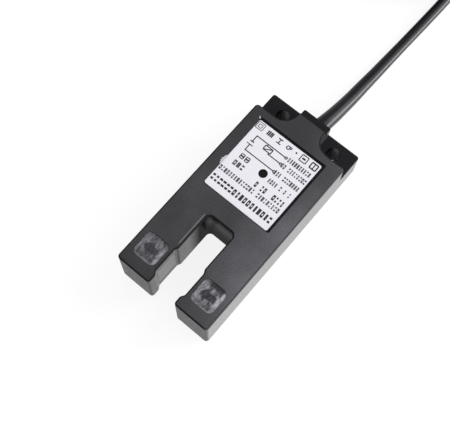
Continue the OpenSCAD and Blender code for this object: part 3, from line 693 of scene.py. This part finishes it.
def slot_end_light_and_shade(tree, height):
    """Painted light and shade on the slot's end from the bottom to the top: painted shade, then a paler
    painted highlight band, and painted shade again.
    """
    node = add(tree, "ShaderNodeValToRGB")
    tree.links.new(band(tree, height, (0, BODY_TOP)), node.inputs["Fac"])
    stops = node.color_ramp.elements
    stops[0].color, stops[1].color, stops[1].position = grey(22), grey(24), 0.95
    for position, value in ((0.35, 62), (0.7, 140)):
        stop = stops.new(position)
        stop.color = grey(value)
    return node.outputs["Color"]


def back_colour(tree, across, along, height):
    """The flange and the cable block: dark, with light on one side of each mounting hole."""
    from_hole = worked(tree, "MULTIPLY_ADD", worked(tree, "SIGN", across), -HOLE_X * MM, across)
    light = product(tree, band(tree, from_hole, LIT_RISE), band(tree, from_hole, LIT_FALL, 1, 0.25))
    hole = blended(tree, light, grey(14, 2), grey(212, 5))
    around = add(tree, "ShaderNodeCombineXYZ")
    away = add(tree, "ShaderNodeVectorMath", operation="DISTANCE")
    link(tree,
         (from_hole, around.inputs["X"]),
         (along, around.inputs["Y"]),
         (around.outputs[0], away.inputs[0]))
    away.inputs[1].default_value = (0, HOLE_Y * MM, 0)
    inside = product(
        tree, band(tree, away.outputs["Value"], HOLE_RIM, 1, 0, HOLE_R), band(tree, height, HOLE_RIM_Z, 1, 0),
    )
    return blended(tree, inside, grey(38, 3), hole)


print("mounting holes at X", -HOLE_X, "and", HOLE_X, "Y", round(HOLE_Y, 2))

# %% [markdown]
# The walls' own colour is a dark grey with a fine grain. Over it come the painted shade of the slot's
# end, the rounded top edge with painted shade that turns to a painted highlight on the right, and last
# what lies behind the body. The order matters, as each blend covers the ones before it.

# %% Finish of the walls
# The edge's painted highlight across the body, where the edge's painted shade and highlight start in height,
# and the slot's end wall before its end
EDGE_PALE, EDGE_COLOURS, END_WALL = (15.5, 16.5), (-0.17, 0.03), (-2.6, -1.2)


def housing_wall():
    """The walls: a coat over dark plastic, with painted shade in the slot's end, painted shade and highlight
    on the top edge, and darker behind the body.
    """
    material, tree, place = new_material("housing_wall")
    across, along, height = axes(tree, place)
    grain = noise(tree, place, 0.45, 4)
    plain = ramp(tree, grain, grey(42, -1), grey(54, -2))
    # Painted shade on the slot's side walls near its end, and painted light and shade on its end wall
    dark = blended(tree, band(tree, along, END_WALL, 0, 1, SLOT_END), grey(22), slot_end_light_and_shade(tree, height))
    colour = blended(tree, slot_shade(tree, across, along), plain, dark)
    # Painted shade along the rounded top edge, turning to a painted highlight on the right
    edge_shade_and_highlight = blended(tree, band(tree, across, EDGE_PALE), grey(36, 2), grey(66, 3))
    colour = blended(tree, band(tree, height, EDGE_COLOURS, 0, 1, EDGE_Z), colour, edge_shade_and_highlight)
    behind = band(tree, along, AT_STEP, 0, 1, BODY_BACK)
    dress(
        tree, Base_Color=blended(tree, behind, colour, back_colour(tree, across, along, height)),
        Roughness=span(tree, grain, 0.4, 0.6), Normal=grained(tree, grain, 0.006, 0.5),
        Specular_IOR_Level=0, Coat_Roughness=0.28,
        Coat_Weight=wall_gloss(tree, grain, across, along, height),
    )
    return material


wall_finish = housing_wall()
print("walls:", len(wall_finish.node_tree.nodes), "nodes")

# %% [markdown]
# ## The housing's outer sides
# The two long outer sides mirror the light, so they look paler than the other walls, and the
# mirrored light breaks up in their uneven surface. The coat's weight follows the grain for that. A
# coat of one weight all over would look like polished plastic.

# %% Finish of the outer sides
def housing_side():
    """The outer sides: an uneven coat over grey plastic."""
    material, tree, place = new_material("housing_side")
    grain = noise(tree, place, 0.5, 4)
    dress(
        tree, Base_Color=ramp(tree, grain, grey(48, 1), grey(66, 1)),
        Roughness=span(tree, grain, 0.26, 0.4), Normal=grained(tree, grain, 0.008, 0.6),
        Coat_Roughness=0.3, Coat_Weight=span(tree, grain, 0.25, 0.95, (0.38, 0.6)),
    )
    return material


side_finish = housing_side()
print("sides:", len(side_finish.node_tree.nodes), "nodes")

# %% [markdown]
# Each face of the copy now takes one of the three finishes. The way it faces and its height tell
# which: the top looks up at full height, and the sides look left or right at the outer faces and
# on the cable block. All others are walls.

# %% The housing's faces take their finish
FLANGE_TOP, NEARLY_STRAIGHT = 9.6, 0.97
WALL, TOP, SIDE = 0, 1, 2


def part_of_housing(face):
    """Which of the three finishes a face takes."""
    centre, normal = face.center / MM, face.normal
    if normal.z > NEARLY_STRAIGHT and centre.z > BODY_TOP - 0.1:
        return TOP
    on_block = centre.y > BODY_BACK and centre.z > FLANGE_TOP
    outside = abs(centre.x) > BODY_SIDE - JUST or on_block
    if abs(normal.x) > NEARLY_STRAIGHT and centre.z < EDGE_Z and outside:
        return SIDE
    return WALL


housing.data.materials.clear()
for material in (wall_finish, top_finish, side_finish):
    housing.data.materials.append(material)
for face in housing.data.polygons:
    face.material_index = part_of_housing(face)
indexes = [face.material_index for face in housing.data.polygons]
print("faces of wall, top and side:", [indexes.count(part) for part in (WALL, TOP, SIDE)])

# %% [markdown]
# ## The other finishes
# The remaining solids keep their CAD shape and only take a finish: rubber, filter windows, zinc
# plated screws, a green board with black chips. Each has its own colour, gloss and grain.

# %% Finishes of the CAD nodes
finish("cover", (52, 52, 55), 0.55, 0.4, 0.01)
finish("seal", (26, 26, 27), 0.75, 0.4, 0.01)
finish("screw_steel", (190, 190, 186), 0.32, 0.15, 0.003, Metallic=1)
finish("filter_window", (44, 42, 46), 0.3, 2.0, 0.002, Coat_Weight=0.2)
finish("label", (241, 240, 247), 0.42, 0.5, 0.002, uneven=0.01)
finish("lens", (15, 15, 17), 0.25, 0.4, 0.004, uneven=0.3, Specular_IOR_Level=0.2)
finish("lamp_red", (190, 50, 40), 0.15, 0.8, 0.001)
finish("lamp_clear", (176, 186, 204), 0.1, 0.8, 0.001)
finish("lamp_dark", (28, 26, 32), 0.12, 0.8, 0.001)
finish("holder", (30, 30, 32), 0.5, 0.3, 0.004)
finish("board", (34, 96, 52), 0.35, 0.6, 0.006, uneven=0.2)
finish("chip", (28, 28, 30), 0.5, 0.15, 0.006)
finish("capacitor_sleeve", (44, 50, 100), 0.3, 0.8, 0.002)
finish("ceramic", (168, 130, 88), 0.45, 0.2, 0.004)
finish("resistor", (36, 36, 38), 0.3, 0.2, 0.003)
finish("bushing", (30, 30, 32), 0.5, 0.4, 0.005)
for part in frame["record"]["subparts"]:
    if part["material_slot"] in finishes:
        paint(frame["nodes"][part["node"]], finishes[part["material_slot"]])
print("finishes:", len(finishes), "for", len(frame["nodes"]), "nodes")

# %% [markdown]
# ## Arrow windows
# Each arrow window is a smoky clear plate, unevenly mottled grey, with a dark arrow that stands a
# little proud. Its paler rims are painted highlights, most of all on its right. Towards the back
# painted shade darkens the right window, while the left one hardly darkens, and the right plate has
# more painted light than the left. The colour is worked out from the place within the plate, so each
# plate needs its own middle, and one function makes both.

# %% Arrow windows
# The right plate's middle, and its width and length with the gap around it
MARK_X, MARK_Y, MARK_W, MARK_L = 10.9, 8.2 + TIPS_Y, 8.1, 8.3
MARK_FRONT, PLATE_TOP, ARROW_STARTS = MARK_Y - MARK_L / 2, 17.15, (0.05, 0.15)
RIM_GREY, FIELD_GREY = ((104, 103, 108), (162, 161, 168)), (122, 121, 127)
# From a plate's left edge: the full part of its painted highlight rim. From its right edge: where that
# painted highlight rim rises
LEFT_RIM_FULL, RIGHT_RIM = 0.5, (-1.5, -0.9)
# From a plate's front: the front rim, the dark behind it, the painted shade at the back and the right rim's
# end
FRONT_RIM, FRONT_DARK, BACK_DARK, RIGHT_RIM_END = (0.3, 0.7), (1.3, 2.2), (6.2, 7.2), (7.4, 8.1)


def lit_by(light, colour):
    """A colour as seen on a screen, paler with a higher light."""
    return linear(*(light * v for v in colour))


def mark_finish(name, centre_x, light, left_rim, back_share):
    """The finish of an arrow window, with painted highlights on its rims and painted shade at its back.
    left_rim is how far its left rim reaches, and its share.
    """
    material, tree, place = new_material(name)
    across, along, height = axes(tree, place)
    left_edge, right_edge = centre_x - MARK_W / 2, centre_x + MARK_W / 2
    left = band(tree, across, (LEFT_RIM_FULL, left_rim[0]), left_rim[1], 0, left_edge)
    right = product(
        tree, band(tree, across, RIGHT_RIM, 0, 0.9, right_edge),
        band(tree, along, RIGHT_RIM_END, 1, 0.2, MARK_FRONT),
    )
    streaks = add(tree, "ShaderNodeMapping", vector_type="POINT", Scale=(1.6, 0.8, 1))
    tree.links.new(place, streaks.inputs["Vector"])
    blots = noise(tree, streaks.outputs["Vector"], 1.1, 6)
    rim = ramp(tree, noise(tree, place, 0.5, 4), linear(100, 99, 104), linear(180, 179, 186), (0.36, 0.64))
    bright_rim = ramp(tree, blots, *(lit_by(light, colour) for colour in RIM_GREY))
    plate = ramp(tree, blots, linear(54, 53, 57), lit_by(light, FIELD_GREY), (0.34, 0.64))
    # Painted shade at the back, a darker band behind the front, and painted highlights on the rims
    for share, colour in (
        (band(tree, along, BACK_DARK, 0, back_share, MARK_FRONT), linear(44, 43, 48)),
        (band(tree, along, FRONT_DARK, 0.6, 0, MARK_FRONT), linear(56, 55, 60)),
        (band(tree, along, FRONT_RIM, 0.5, 0, MARK_FRONT), rim),
        (left, rim),
        (right, bright_rim),
    ):
        plate = blended(tree, share, plate, colour)
    arrow = ramp(tree, blots, linear(42, 41, 45), linear(66, 65, 70), (0.35, 0.6))
    on_arrow = band(tree, height, ARROW_STARTS, 0, 1, PLATE_TOP)
    dress(
        tree, Base_Color=blended(tree, on_arrow, plate, arrow),
        Roughness=span(tree, blots, 0.3, 0.45), Normal=grained(tree, blots, 0.02, 0.8),
    )
    return material


# The right window gets more painted light, a wider painted highlight on its left rim and more painted shade
# at its back than the left one
paint(frame["nodes"]["emitter_mark"], mark_finish("mark_plate_right", MARK_X, 1.25, (2.4, 0.75), 0.95))
paint(frame["nodes"]["receiver_mark"], mark_finish("mark_plate_left", -MARK_X, 1.05, (1.1, 0.35), 0.3))
print("arrow windows:", MARK_W, "x", MARK_L, "mm")

# %% [markdown]
# ## The label's sheet
# The label is a thin plastic sheet in a shallow pocket. In the photograph it lies a little further
# back and is a little narrower than its solid, so a copy of the solid is moved and scaled within
# the pocket, and stands for it.

# %% The label's sheet
(cad_label_x, cad_label_y, _), (cad_label_right, cad_label_back, label_top) = box_of("label")
LABEL_X, LABEL_W, LABEL_BACK, INK_ABOVE = -12.76, 23.93, 0.25, 0.015
LABEL_Y, LABEL_L = cad_label_y + LABEL_BACK, cad_label_back - cad_label_y
PRINT_Z = label_top + INK_ABOVE
label_sheet = smooth_copy("label_sheet", "label")
for vertex in label_sheet.data.vertices:
    share = (vertex.co.x / MM - cad_label_x) / (cad_label_right - cad_label_x)
    vertex.co.x = (LABEL_X + share * LABEL_W) * MM
    vertex.co.y += LABEL_BACK * MM
paint(label_sheet, finishes["label"])


def on_label(u, v):
    """A place on the label in mm: u runs across it and v from its front edge, both from 0 to 1."""
    return Vector((LABEL_X + u * LABEL_W, LABEL_Y + v * LABEL_L, PRINT_Z))


print("label:", LABEL_W, "x", round(LABEL_L, 2), "mm, from", [round(v, 2) for v in on_label(0, 0)])

# %% [markdown]
# ## Rows of print
# The print has the look of a wired switch's label and says nothing: rows of small plain shapes, a
# few symbols as squares and bars, and a wiring drawing of thin lines and rings. Geometry Nodes set
# one row. First the tree makes three plain stamps: a bar, a square with a hole and a pair of bars.

# %% The row tree and its stamps
row_tree = new_tree("row of print", [
    ("Count", "Int", 10), ("Start", "Vector", None), ("Pitch", "Float", 0.001),
    ("Height", "Float", 0.001), ("Gaps", "Float", 0.12), ("Seed", "Int", 1), ("Material", "Material", None),
])
given = add(row_tree, "NodeGroupInput").outputs


def stamp(across, along, drop):
    """A flat square of cells, one unit wide, as an instance. The cell with the number drop is left out."""
    cells = add(row_tree, "GeometryNodeMeshGrid", Vertices_X=across + 1, Vertices_Y=along + 1)
    number = add(row_tree, "FunctionNodeCompare", data_type="INT", operation="EQUAL")
    number.inputs[3].default_value = drop
    cut = add(row_tree, "GeometryNodeDeleteGeometry", domain="FACE")
    whole = add(row_tree, "GeometryNodeGeometryToInstance")
    link(row_tree,
         (add(row_tree, "GeometryNodeInputIndex").outputs[0], number.inputs[2]),
         (cells.outputs["Mesh"], cut.inputs["Geometry"]),
         (number.outputs[0], cut.inputs["Selection"]),
         (cut.outputs[0], whole.inputs[0]))
    return whole.outputs[0]


stamps = add(row_tree, "GeometryNodeJoinGeometry")
for shape in (stamp(1, 1, 9), stamp(3, 3, 4), stamp(1, 3, 1)):
    row_tree.links.new(shape, stamps.inputs[0])
print(name_and_size(row_tree))

# %% [markdown]
# Then the tree sets the stamps along a line: a random one at each step, of random width, with some
# steps left empty. The seed is an input, so each row keeps its own pattern in every run.

# %% The row tree sets its stamps
offset = add(row_tree, "ShaderNodeCombineXYZ")
line = add(row_tree, "GeometryNodeMeshLine", mode="OFFSET")
gap = add(row_tree, "FunctionNodeRandomValue", data_type="BOOLEAN")
thin = add(row_tree, "GeometryNodeDeleteGeometry", domain="POINT")
choice = add(row_tree, "FunctionNodeRandomValue", data_type="INT")
choice.inputs["Min"].default_value, choice.inputs["Max"].default_value = 0, 2
width = add(row_tree, "FunctionNodeRandomValue", data_type="FLOAT")
width.inputs[2].default_value, width.inputs[3].default_value = 0.4, 0.8
wide = worked(row_tree, "MULTIPLY", width.outputs[1], given["Pitch"])
size = add(row_tree, "ShaderNodeCombineXYZ", Z=1)
place_stamps = add(row_tree, "GeometryNodeInstanceOnPoints", Pick_Instance=True)
link(row_tree,
     (given["Pitch"], offset.inputs["X"]),
     (given["Count"], line.inputs["Count"]),
     (given["Start"], line.inputs["Start Location"]),
     (offset.outputs[0], line.inputs["Offset"]),
     (given["Gaps"], gap.inputs["Probability"]),
     (given["Seed"], gap.inputs["Seed"]),
     (given["Seed"], choice.inputs["Seed"]),
     (given["Seed"], width.inputs["Seed"]),
     (line.outputs[0], thin.inputs["Geometry"]),
     (gap.outputs[3], thin.inputs["Selection"]),
     (thin.outputs[0], place_stamps.inputs["Points"]),
     (stamps.outputs[0], place_stamps.inputs["Instance"]),
     (choice.outputs[2], place_stamps.inputs["Instance Index"]),
     (wide, size.inputs["X"]),
     (given["Height"], size.inputs["Y"]),
     (size.outputs[0], place_stamps.inputs["Scale"]))
finish_tree(row_tree, place_stamps.outputs[0], given["Material"])

# %% Rows of print
ink = finish("label_ink", (38, 37, 42), 0.5, 0.3, 0.002, uneven=0.25)
pale_ink = finish("label_pale_ink", (82, 80, 88), 0.5, 0.3, 0.002, uneven=0.2)
FIRST_SEED = 11


def printed(piece):
    """Attaches a piece of the label's print to the root."""
    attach(piece, "root")


# Each row: from u to u, its middle v, the shapes' height and pitch in mm, share of gaps, ink
rows = [
    (0.04, 0.95, 0.120, 2.1, 1.35, 0.06, ink),
    (0.03, 0.96, 0.261, 1.6, 0.95, 0.08, pale_ink),
    (0.52, 0.96, 0.354, 1.9, 1.1, 0.12, ink),
    (0.13, 0.30, 0.405, 1.8, 1.4, 0.0, pale_ink),
    (0.61, 0.96, 0.483, 1.5, 0.85, 0.12, pale_ink),
    (0.60, 0.97, 0.603, 1.6, 0.85, 0.1, pale_ink),
    (0.61, 0.97, 0.721, 1.6, 0.85, 0.1, pale_ink),
    (0.63, 0.97, 0.821, 1.6, 0.85, 0.1, pale_ink),
]
for number, (from_u, to_u, v, high, pitch, gaps, colour) in enumerate(rows):
    name = f"label_row_{number + 1}"
    start = in_scene(name, bpy.data.meshes.new(name))
    printed(grown(name, start, row_tree, {
        "Count": int((to_u - from_u) * LABEL_W / pitch) + 1, "Start": tuple(on_label(from_u, v) * MM),
        "Pitch": pitch * MM, "Height": high * MM, "Gaps": gaps, "Seed": FIRST_SEED + number,
        "Material": colour,
    }))
print("rows of print:", len(rows))

# %% [markdown]
# ## Lines, rings and symbols
# The rest of the print doesn't repeat, so it is drawn stroke by stroke into one flat mesh, just
# above the sheet. Three helpers draw a line, a rectangle and a ring at a place on the label.

# %% Helpers for the drawing
LINE, THIN, BOLD = 0.34, 0.3, 0.35
drawing = bmesh.new()


def stroke(u0, v0, u1, v1, wide=LINE):
    """A straight printed line between two places on the label, as one flat face."""
    a, b = on_label(u0, v0), on_label(u1, v1)
    side = (b - a).normalized().cross(Vector((0, 0, 1))) * wide / 2
    drawing.faces.new([drawing.verts.new(q * MM) for q in (a - side, a + side, b + side, b - side)])


def box_outline(u, v, w, h, wide=THIN):
    """A printed rectangle about a place, w by h in mm."""
    du, dv = w / 2 / LABEL_W, h / 2 / LABEL_L
    for a, b in (((-1, -1), (1, -1)), ((1, -1), (1, 1)), ((1, 1), (-1, 1)), ((-1, 1), (-1, -1))):
        stroke(u + a[0] * du, v + a[1] * dv, u + b[0] * du, v + b[1] * dv, wide)


def ring(u, v, r, wide=LINE, steps=20):
    """A printed ring about a place."""
    middle = on_label(u, v)
    loops = [
        [drawing.verts.new((middle + Vector((math.cos(t), math.sin(t), 0)) * q) * MM)
         for t in np.linspace(0, 2 * math.pi, steps, endpoint=False)]
        for q in (r - wide / 2, r + wide / 2)
    ]
    for k in range(steps):
        n = (k + 1) % steps
        drawing.faces.new((loops[0][k], loops[1][k], loops[1][n], loops[0][n]))


print("line widths on the label in mm:", LINE, THIN, BOLD)

# %% The wiring drawing
FIRST_WIRE, SECOND_WIRE, THIRD_WIRE = 0.819, 0.722, 0.600
WIRE_END, SUPPLY_U = 0.568, 0.115
for wire, wire_start in ((FIRST_WIRE, 0.108), (SECOND_WIRE, 0.37), (THIRD_WIRE, 0.108)):
    ring(0.583, wire, 0.36)
    stroke(wire_start, wire, WIRE_END, wire)
# The supply's two plates on the left, between the first wire and the third
stroke(SUPPLY_U, 0.730, SUPPLY_U, FIRST_WIRE)
stroke(SUPPLY_U, THIRD_WIRE, SUPPLY_U, 0.685)
stroke(0.088, 0.730, 0.143, 0.730, 0.4)
stroke(0.069, 0.685, 0.161, 0.685, THIN)
# The load between the first wire and the second
box_outline(0.338, 0.767, 2.8, 1.5, LINE)
stroke(0.293, 0.745, 0.383, 0.789)
stroke(0.298, 0.794, 0.298, FIRST_WIRE)
stroke(0.378, SECOND_WIRE, 0.378, 0.740)
print("wiring drawing:", len(drawing.faces), "faces")

# %% Symbols along the label's back edge, and two boxes in front of the wires
for w, h in ((2.5, 2.3), (1.2, 1.1)):
    box_outline(0.062, 0.939, w, h, 0.22)
for u in (0.189, 0.217, 0.245, 0.266):
    stroke(u, 0.901, u, 0.967, THIN)
for v in (0.916, 0.935, 0.954):
    stroke(0.184, v, 0.27, v, THIN)
stroke(0.38, 0.903, 0.38, 0.961, BOLD)
for v in (0.903, 0.961):
    stroke(0.345, v, 0.415, v, BOLD)
ring(0.517, 0.936, 0.55, BOLD)
ring(0.552, 0.946, 0.3, THIN)
ring(0.641, 0.943, 0.16, THIN)
box_outline(0.765, 0.939, 2.3, 2.2)
stroke(0.74, 0.939, 0.79, 0.939, 0.6)
box_outline(0.9235, 0.938, 2.2, 2.0, 0.42)
stroke(0.9235, 0.899, 0.9235, 0.977, BOLD)
for u in (0.1485, 0.2285):
    box_outline(u, 0.515, 1.2, 1.5)
    stroke(u - 0.02, 0.515, u + 0.02, 0.515, 0.5)


def flat_piece(name, work, material):
    """A finished drawing as an object of one material."""
    mesh = bpy.data.meshes.new(name)
    work.to_mesh(mesh)
    work.free()
    mesh.materials.append(material)
    print(f"{name}: {len(mesh.polygons)} faces")
    return in_scene(name, mesh)


printed(flat_piece("label_drawing", drawing, ink))

# %% [markdown]
# ## Scuffs beside the label
# The photograph shows two small pale scuffs: a spike off the label's back left corner, and a frayed
# patch along its left edge. They are tiny flat flakes that lie on the housing's top. Each is a
# polygon whose outer edge is listed point by point, because there are only two.

# %% Scuffs
FLAKE_ABOVE, FRAYED_FROM = 0.012, 7.5
flakes = bmesh.new()
corner_x, corner_y = LABEL_X - 0.15, LABEL_Y + LABEL_L + 0.1
spike = [(0.1, 0), (-0.35, 0.1), (-0.8, 0.9), (-0.1, 0.45)]
frayed = [
    (0.15, 0), (-0.3, 0.2), (-0.2, 0.7), (-0.6, 0.9), (-0.45, 1.5), (-0.75, 1.9), (-0.3, 2.3), (-0.35, 3.0),
    (0, 3.3), (0.1, 3.9), (0.15, 3.0),
]
for at_y, outline in ((corner_y, spike), (LABEL_Y + FRAYED_FROM, frayed)):
    corners = [Vector((corner_x + x, at_y + y, BODY_TOP + FLAKE_ABOVE)) * MM for x, y in outline]
    face = flakes.faces.new([flakes.verts.new(corner) for corner in corners])
    face.normal_update()
    if face.normal.z < 0:
        face.normal_flip()
bmesh.ops.triangulate(flakes, faces=flakes.faces)
scuffs = flat_piece("scuffs", flakes, finish("scuff", (206, 205, 212), 0.6, 0.3, 0.006, uneven=0.2))
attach(scuffs, "root")

# %% [markdown]
# ## Floor
# A pale floor takes the switch's shadow. The camera sees it a little brighter than it lights the
# scene, through Light Path, so the background is white without more light on the dark plastic. A
# white backdrop that gave off that light everywhere would wash the plastic out.

# %% Floor
FLOOR_M, FLOOR_BELOW_M = 6, 0.00002
FLOOR_LIT, FLOOR_FAINT, FLOOR_GLOW = 0.82, 0.2, 0.86


def seen_directly(tree):
    """1 for rays from the camera, and for what glossy and clear surfaces show, otherwise 0."""
    rays = add(tree, "ShaderNodeLightPath").outputs
    either = worked(tree, "MAXIMUM", rays["Is Camera Ray"], rays["Is Glossy Ray"])
    return worked(tree, "MAXIMUM", either, rays["Is Transmission Ray"])


def pale_floor():
    """A wide floor just under the switch, which looks white and keeps a soft shadow."""
    bpy.ops.mesh.primitive_plane_add(size=FLOOR_M, location=(0, 0, -FLOOR_BELOW_M))
    floor = bpy.context.object
    floor.name = "floor"
    material, tree, _ = new_material("floor")
    lit = add(tree, "ShaderNodeBsdfDiffuse", Color=(FLOOR_LIT, FLOOR_LIT, FLOOR_LIT, 1))
    faint = add(tree, "ShaderNodeBsdfDiffuse", Color=(FLOOR_FAINT, FLOOR_FAINT, FLOOR_FAINT, 1))
    glow = add(tree, "ShaderNodeEmission", Strength=FLOOR_GLOW)
    pale = add(tree, "ShaderNodeAddShader")
    mix = add(tree, "ShaderNodeMixShader")
    link(tree,
         (faint.outputs[0], pale.inputs[0]),
         (glow.outputs[0], pale.inputs[1]),
         (seen_directly(tree), mix.inputs[0]),
         (lit.outputs[0], mix.inputs[1]),
         (pale.outputs[0], mix.inputs[2]),
         (mix.outputs[0], tree.nodes["Material Output"].inputs["Surface"]))
    floor.data.materials.append(material)
    return floor


floor = pale_floor()
print(floor.name, "at Z", round(floor.location.z / MM, 3), "mm")

# %% [markdown]
# ## Lights and sky
# Two soft lights and a bright sky stand in for a studio tent. The square one behind the switch
# lights its top. The low, wide one on its right is mirrored in the outer side and along the cable.
# The sky is strongest near the horizon, which lights the walls more than the top.

# %% Lights
def soft_light(name, place, wide, high, watts):
    """A large rectangular light that points at the switch."""
    data = bpy.data.lights.new(name, "AREA")
    data.shape = "RECTANGLE"
    data.size, data.size_y = wide, high
    data.energy = watts
    light = in_scene(name, data)
    light.location = place
    light.rotation_euler = (-Vector(place)).to_track_quat("-Z", "Y").to_euler()
    print(f"{name}: {watts} W")


soft_light("back_light", (0.5, 0.9, 0.7), 0.7, 0.7, 7)
soft_light("side_light", (1.0, 0.5, 0.23), 1.1, 0.4, 12)

# %% Sky
SKY_LOW, SKY_HIGH = 1.0, 0.4
world = bpy.data.worlds.new("studio")
bpy.context.scene.world = world
world.use_nodes = True
tree = world.node_tree
sky = tree.nodes["Background"]
_, _, up = axes(tree, add(tree, "ShaderNodeTexCoord").outputs["Generated"])
feed(tree, sky.inputs["Strength"], span(tree, up, SKY_LOW, SKY_HIGH, (0.05, 0.9)))
sky.inputs["Color"].default_value = (1, 1, 1, 1)
bpy.context.scene.view_settings.view_transform = "Standard"
print("sky:", SKY_LOW, "at the horizon,", SKY_HIGH, "overhead")
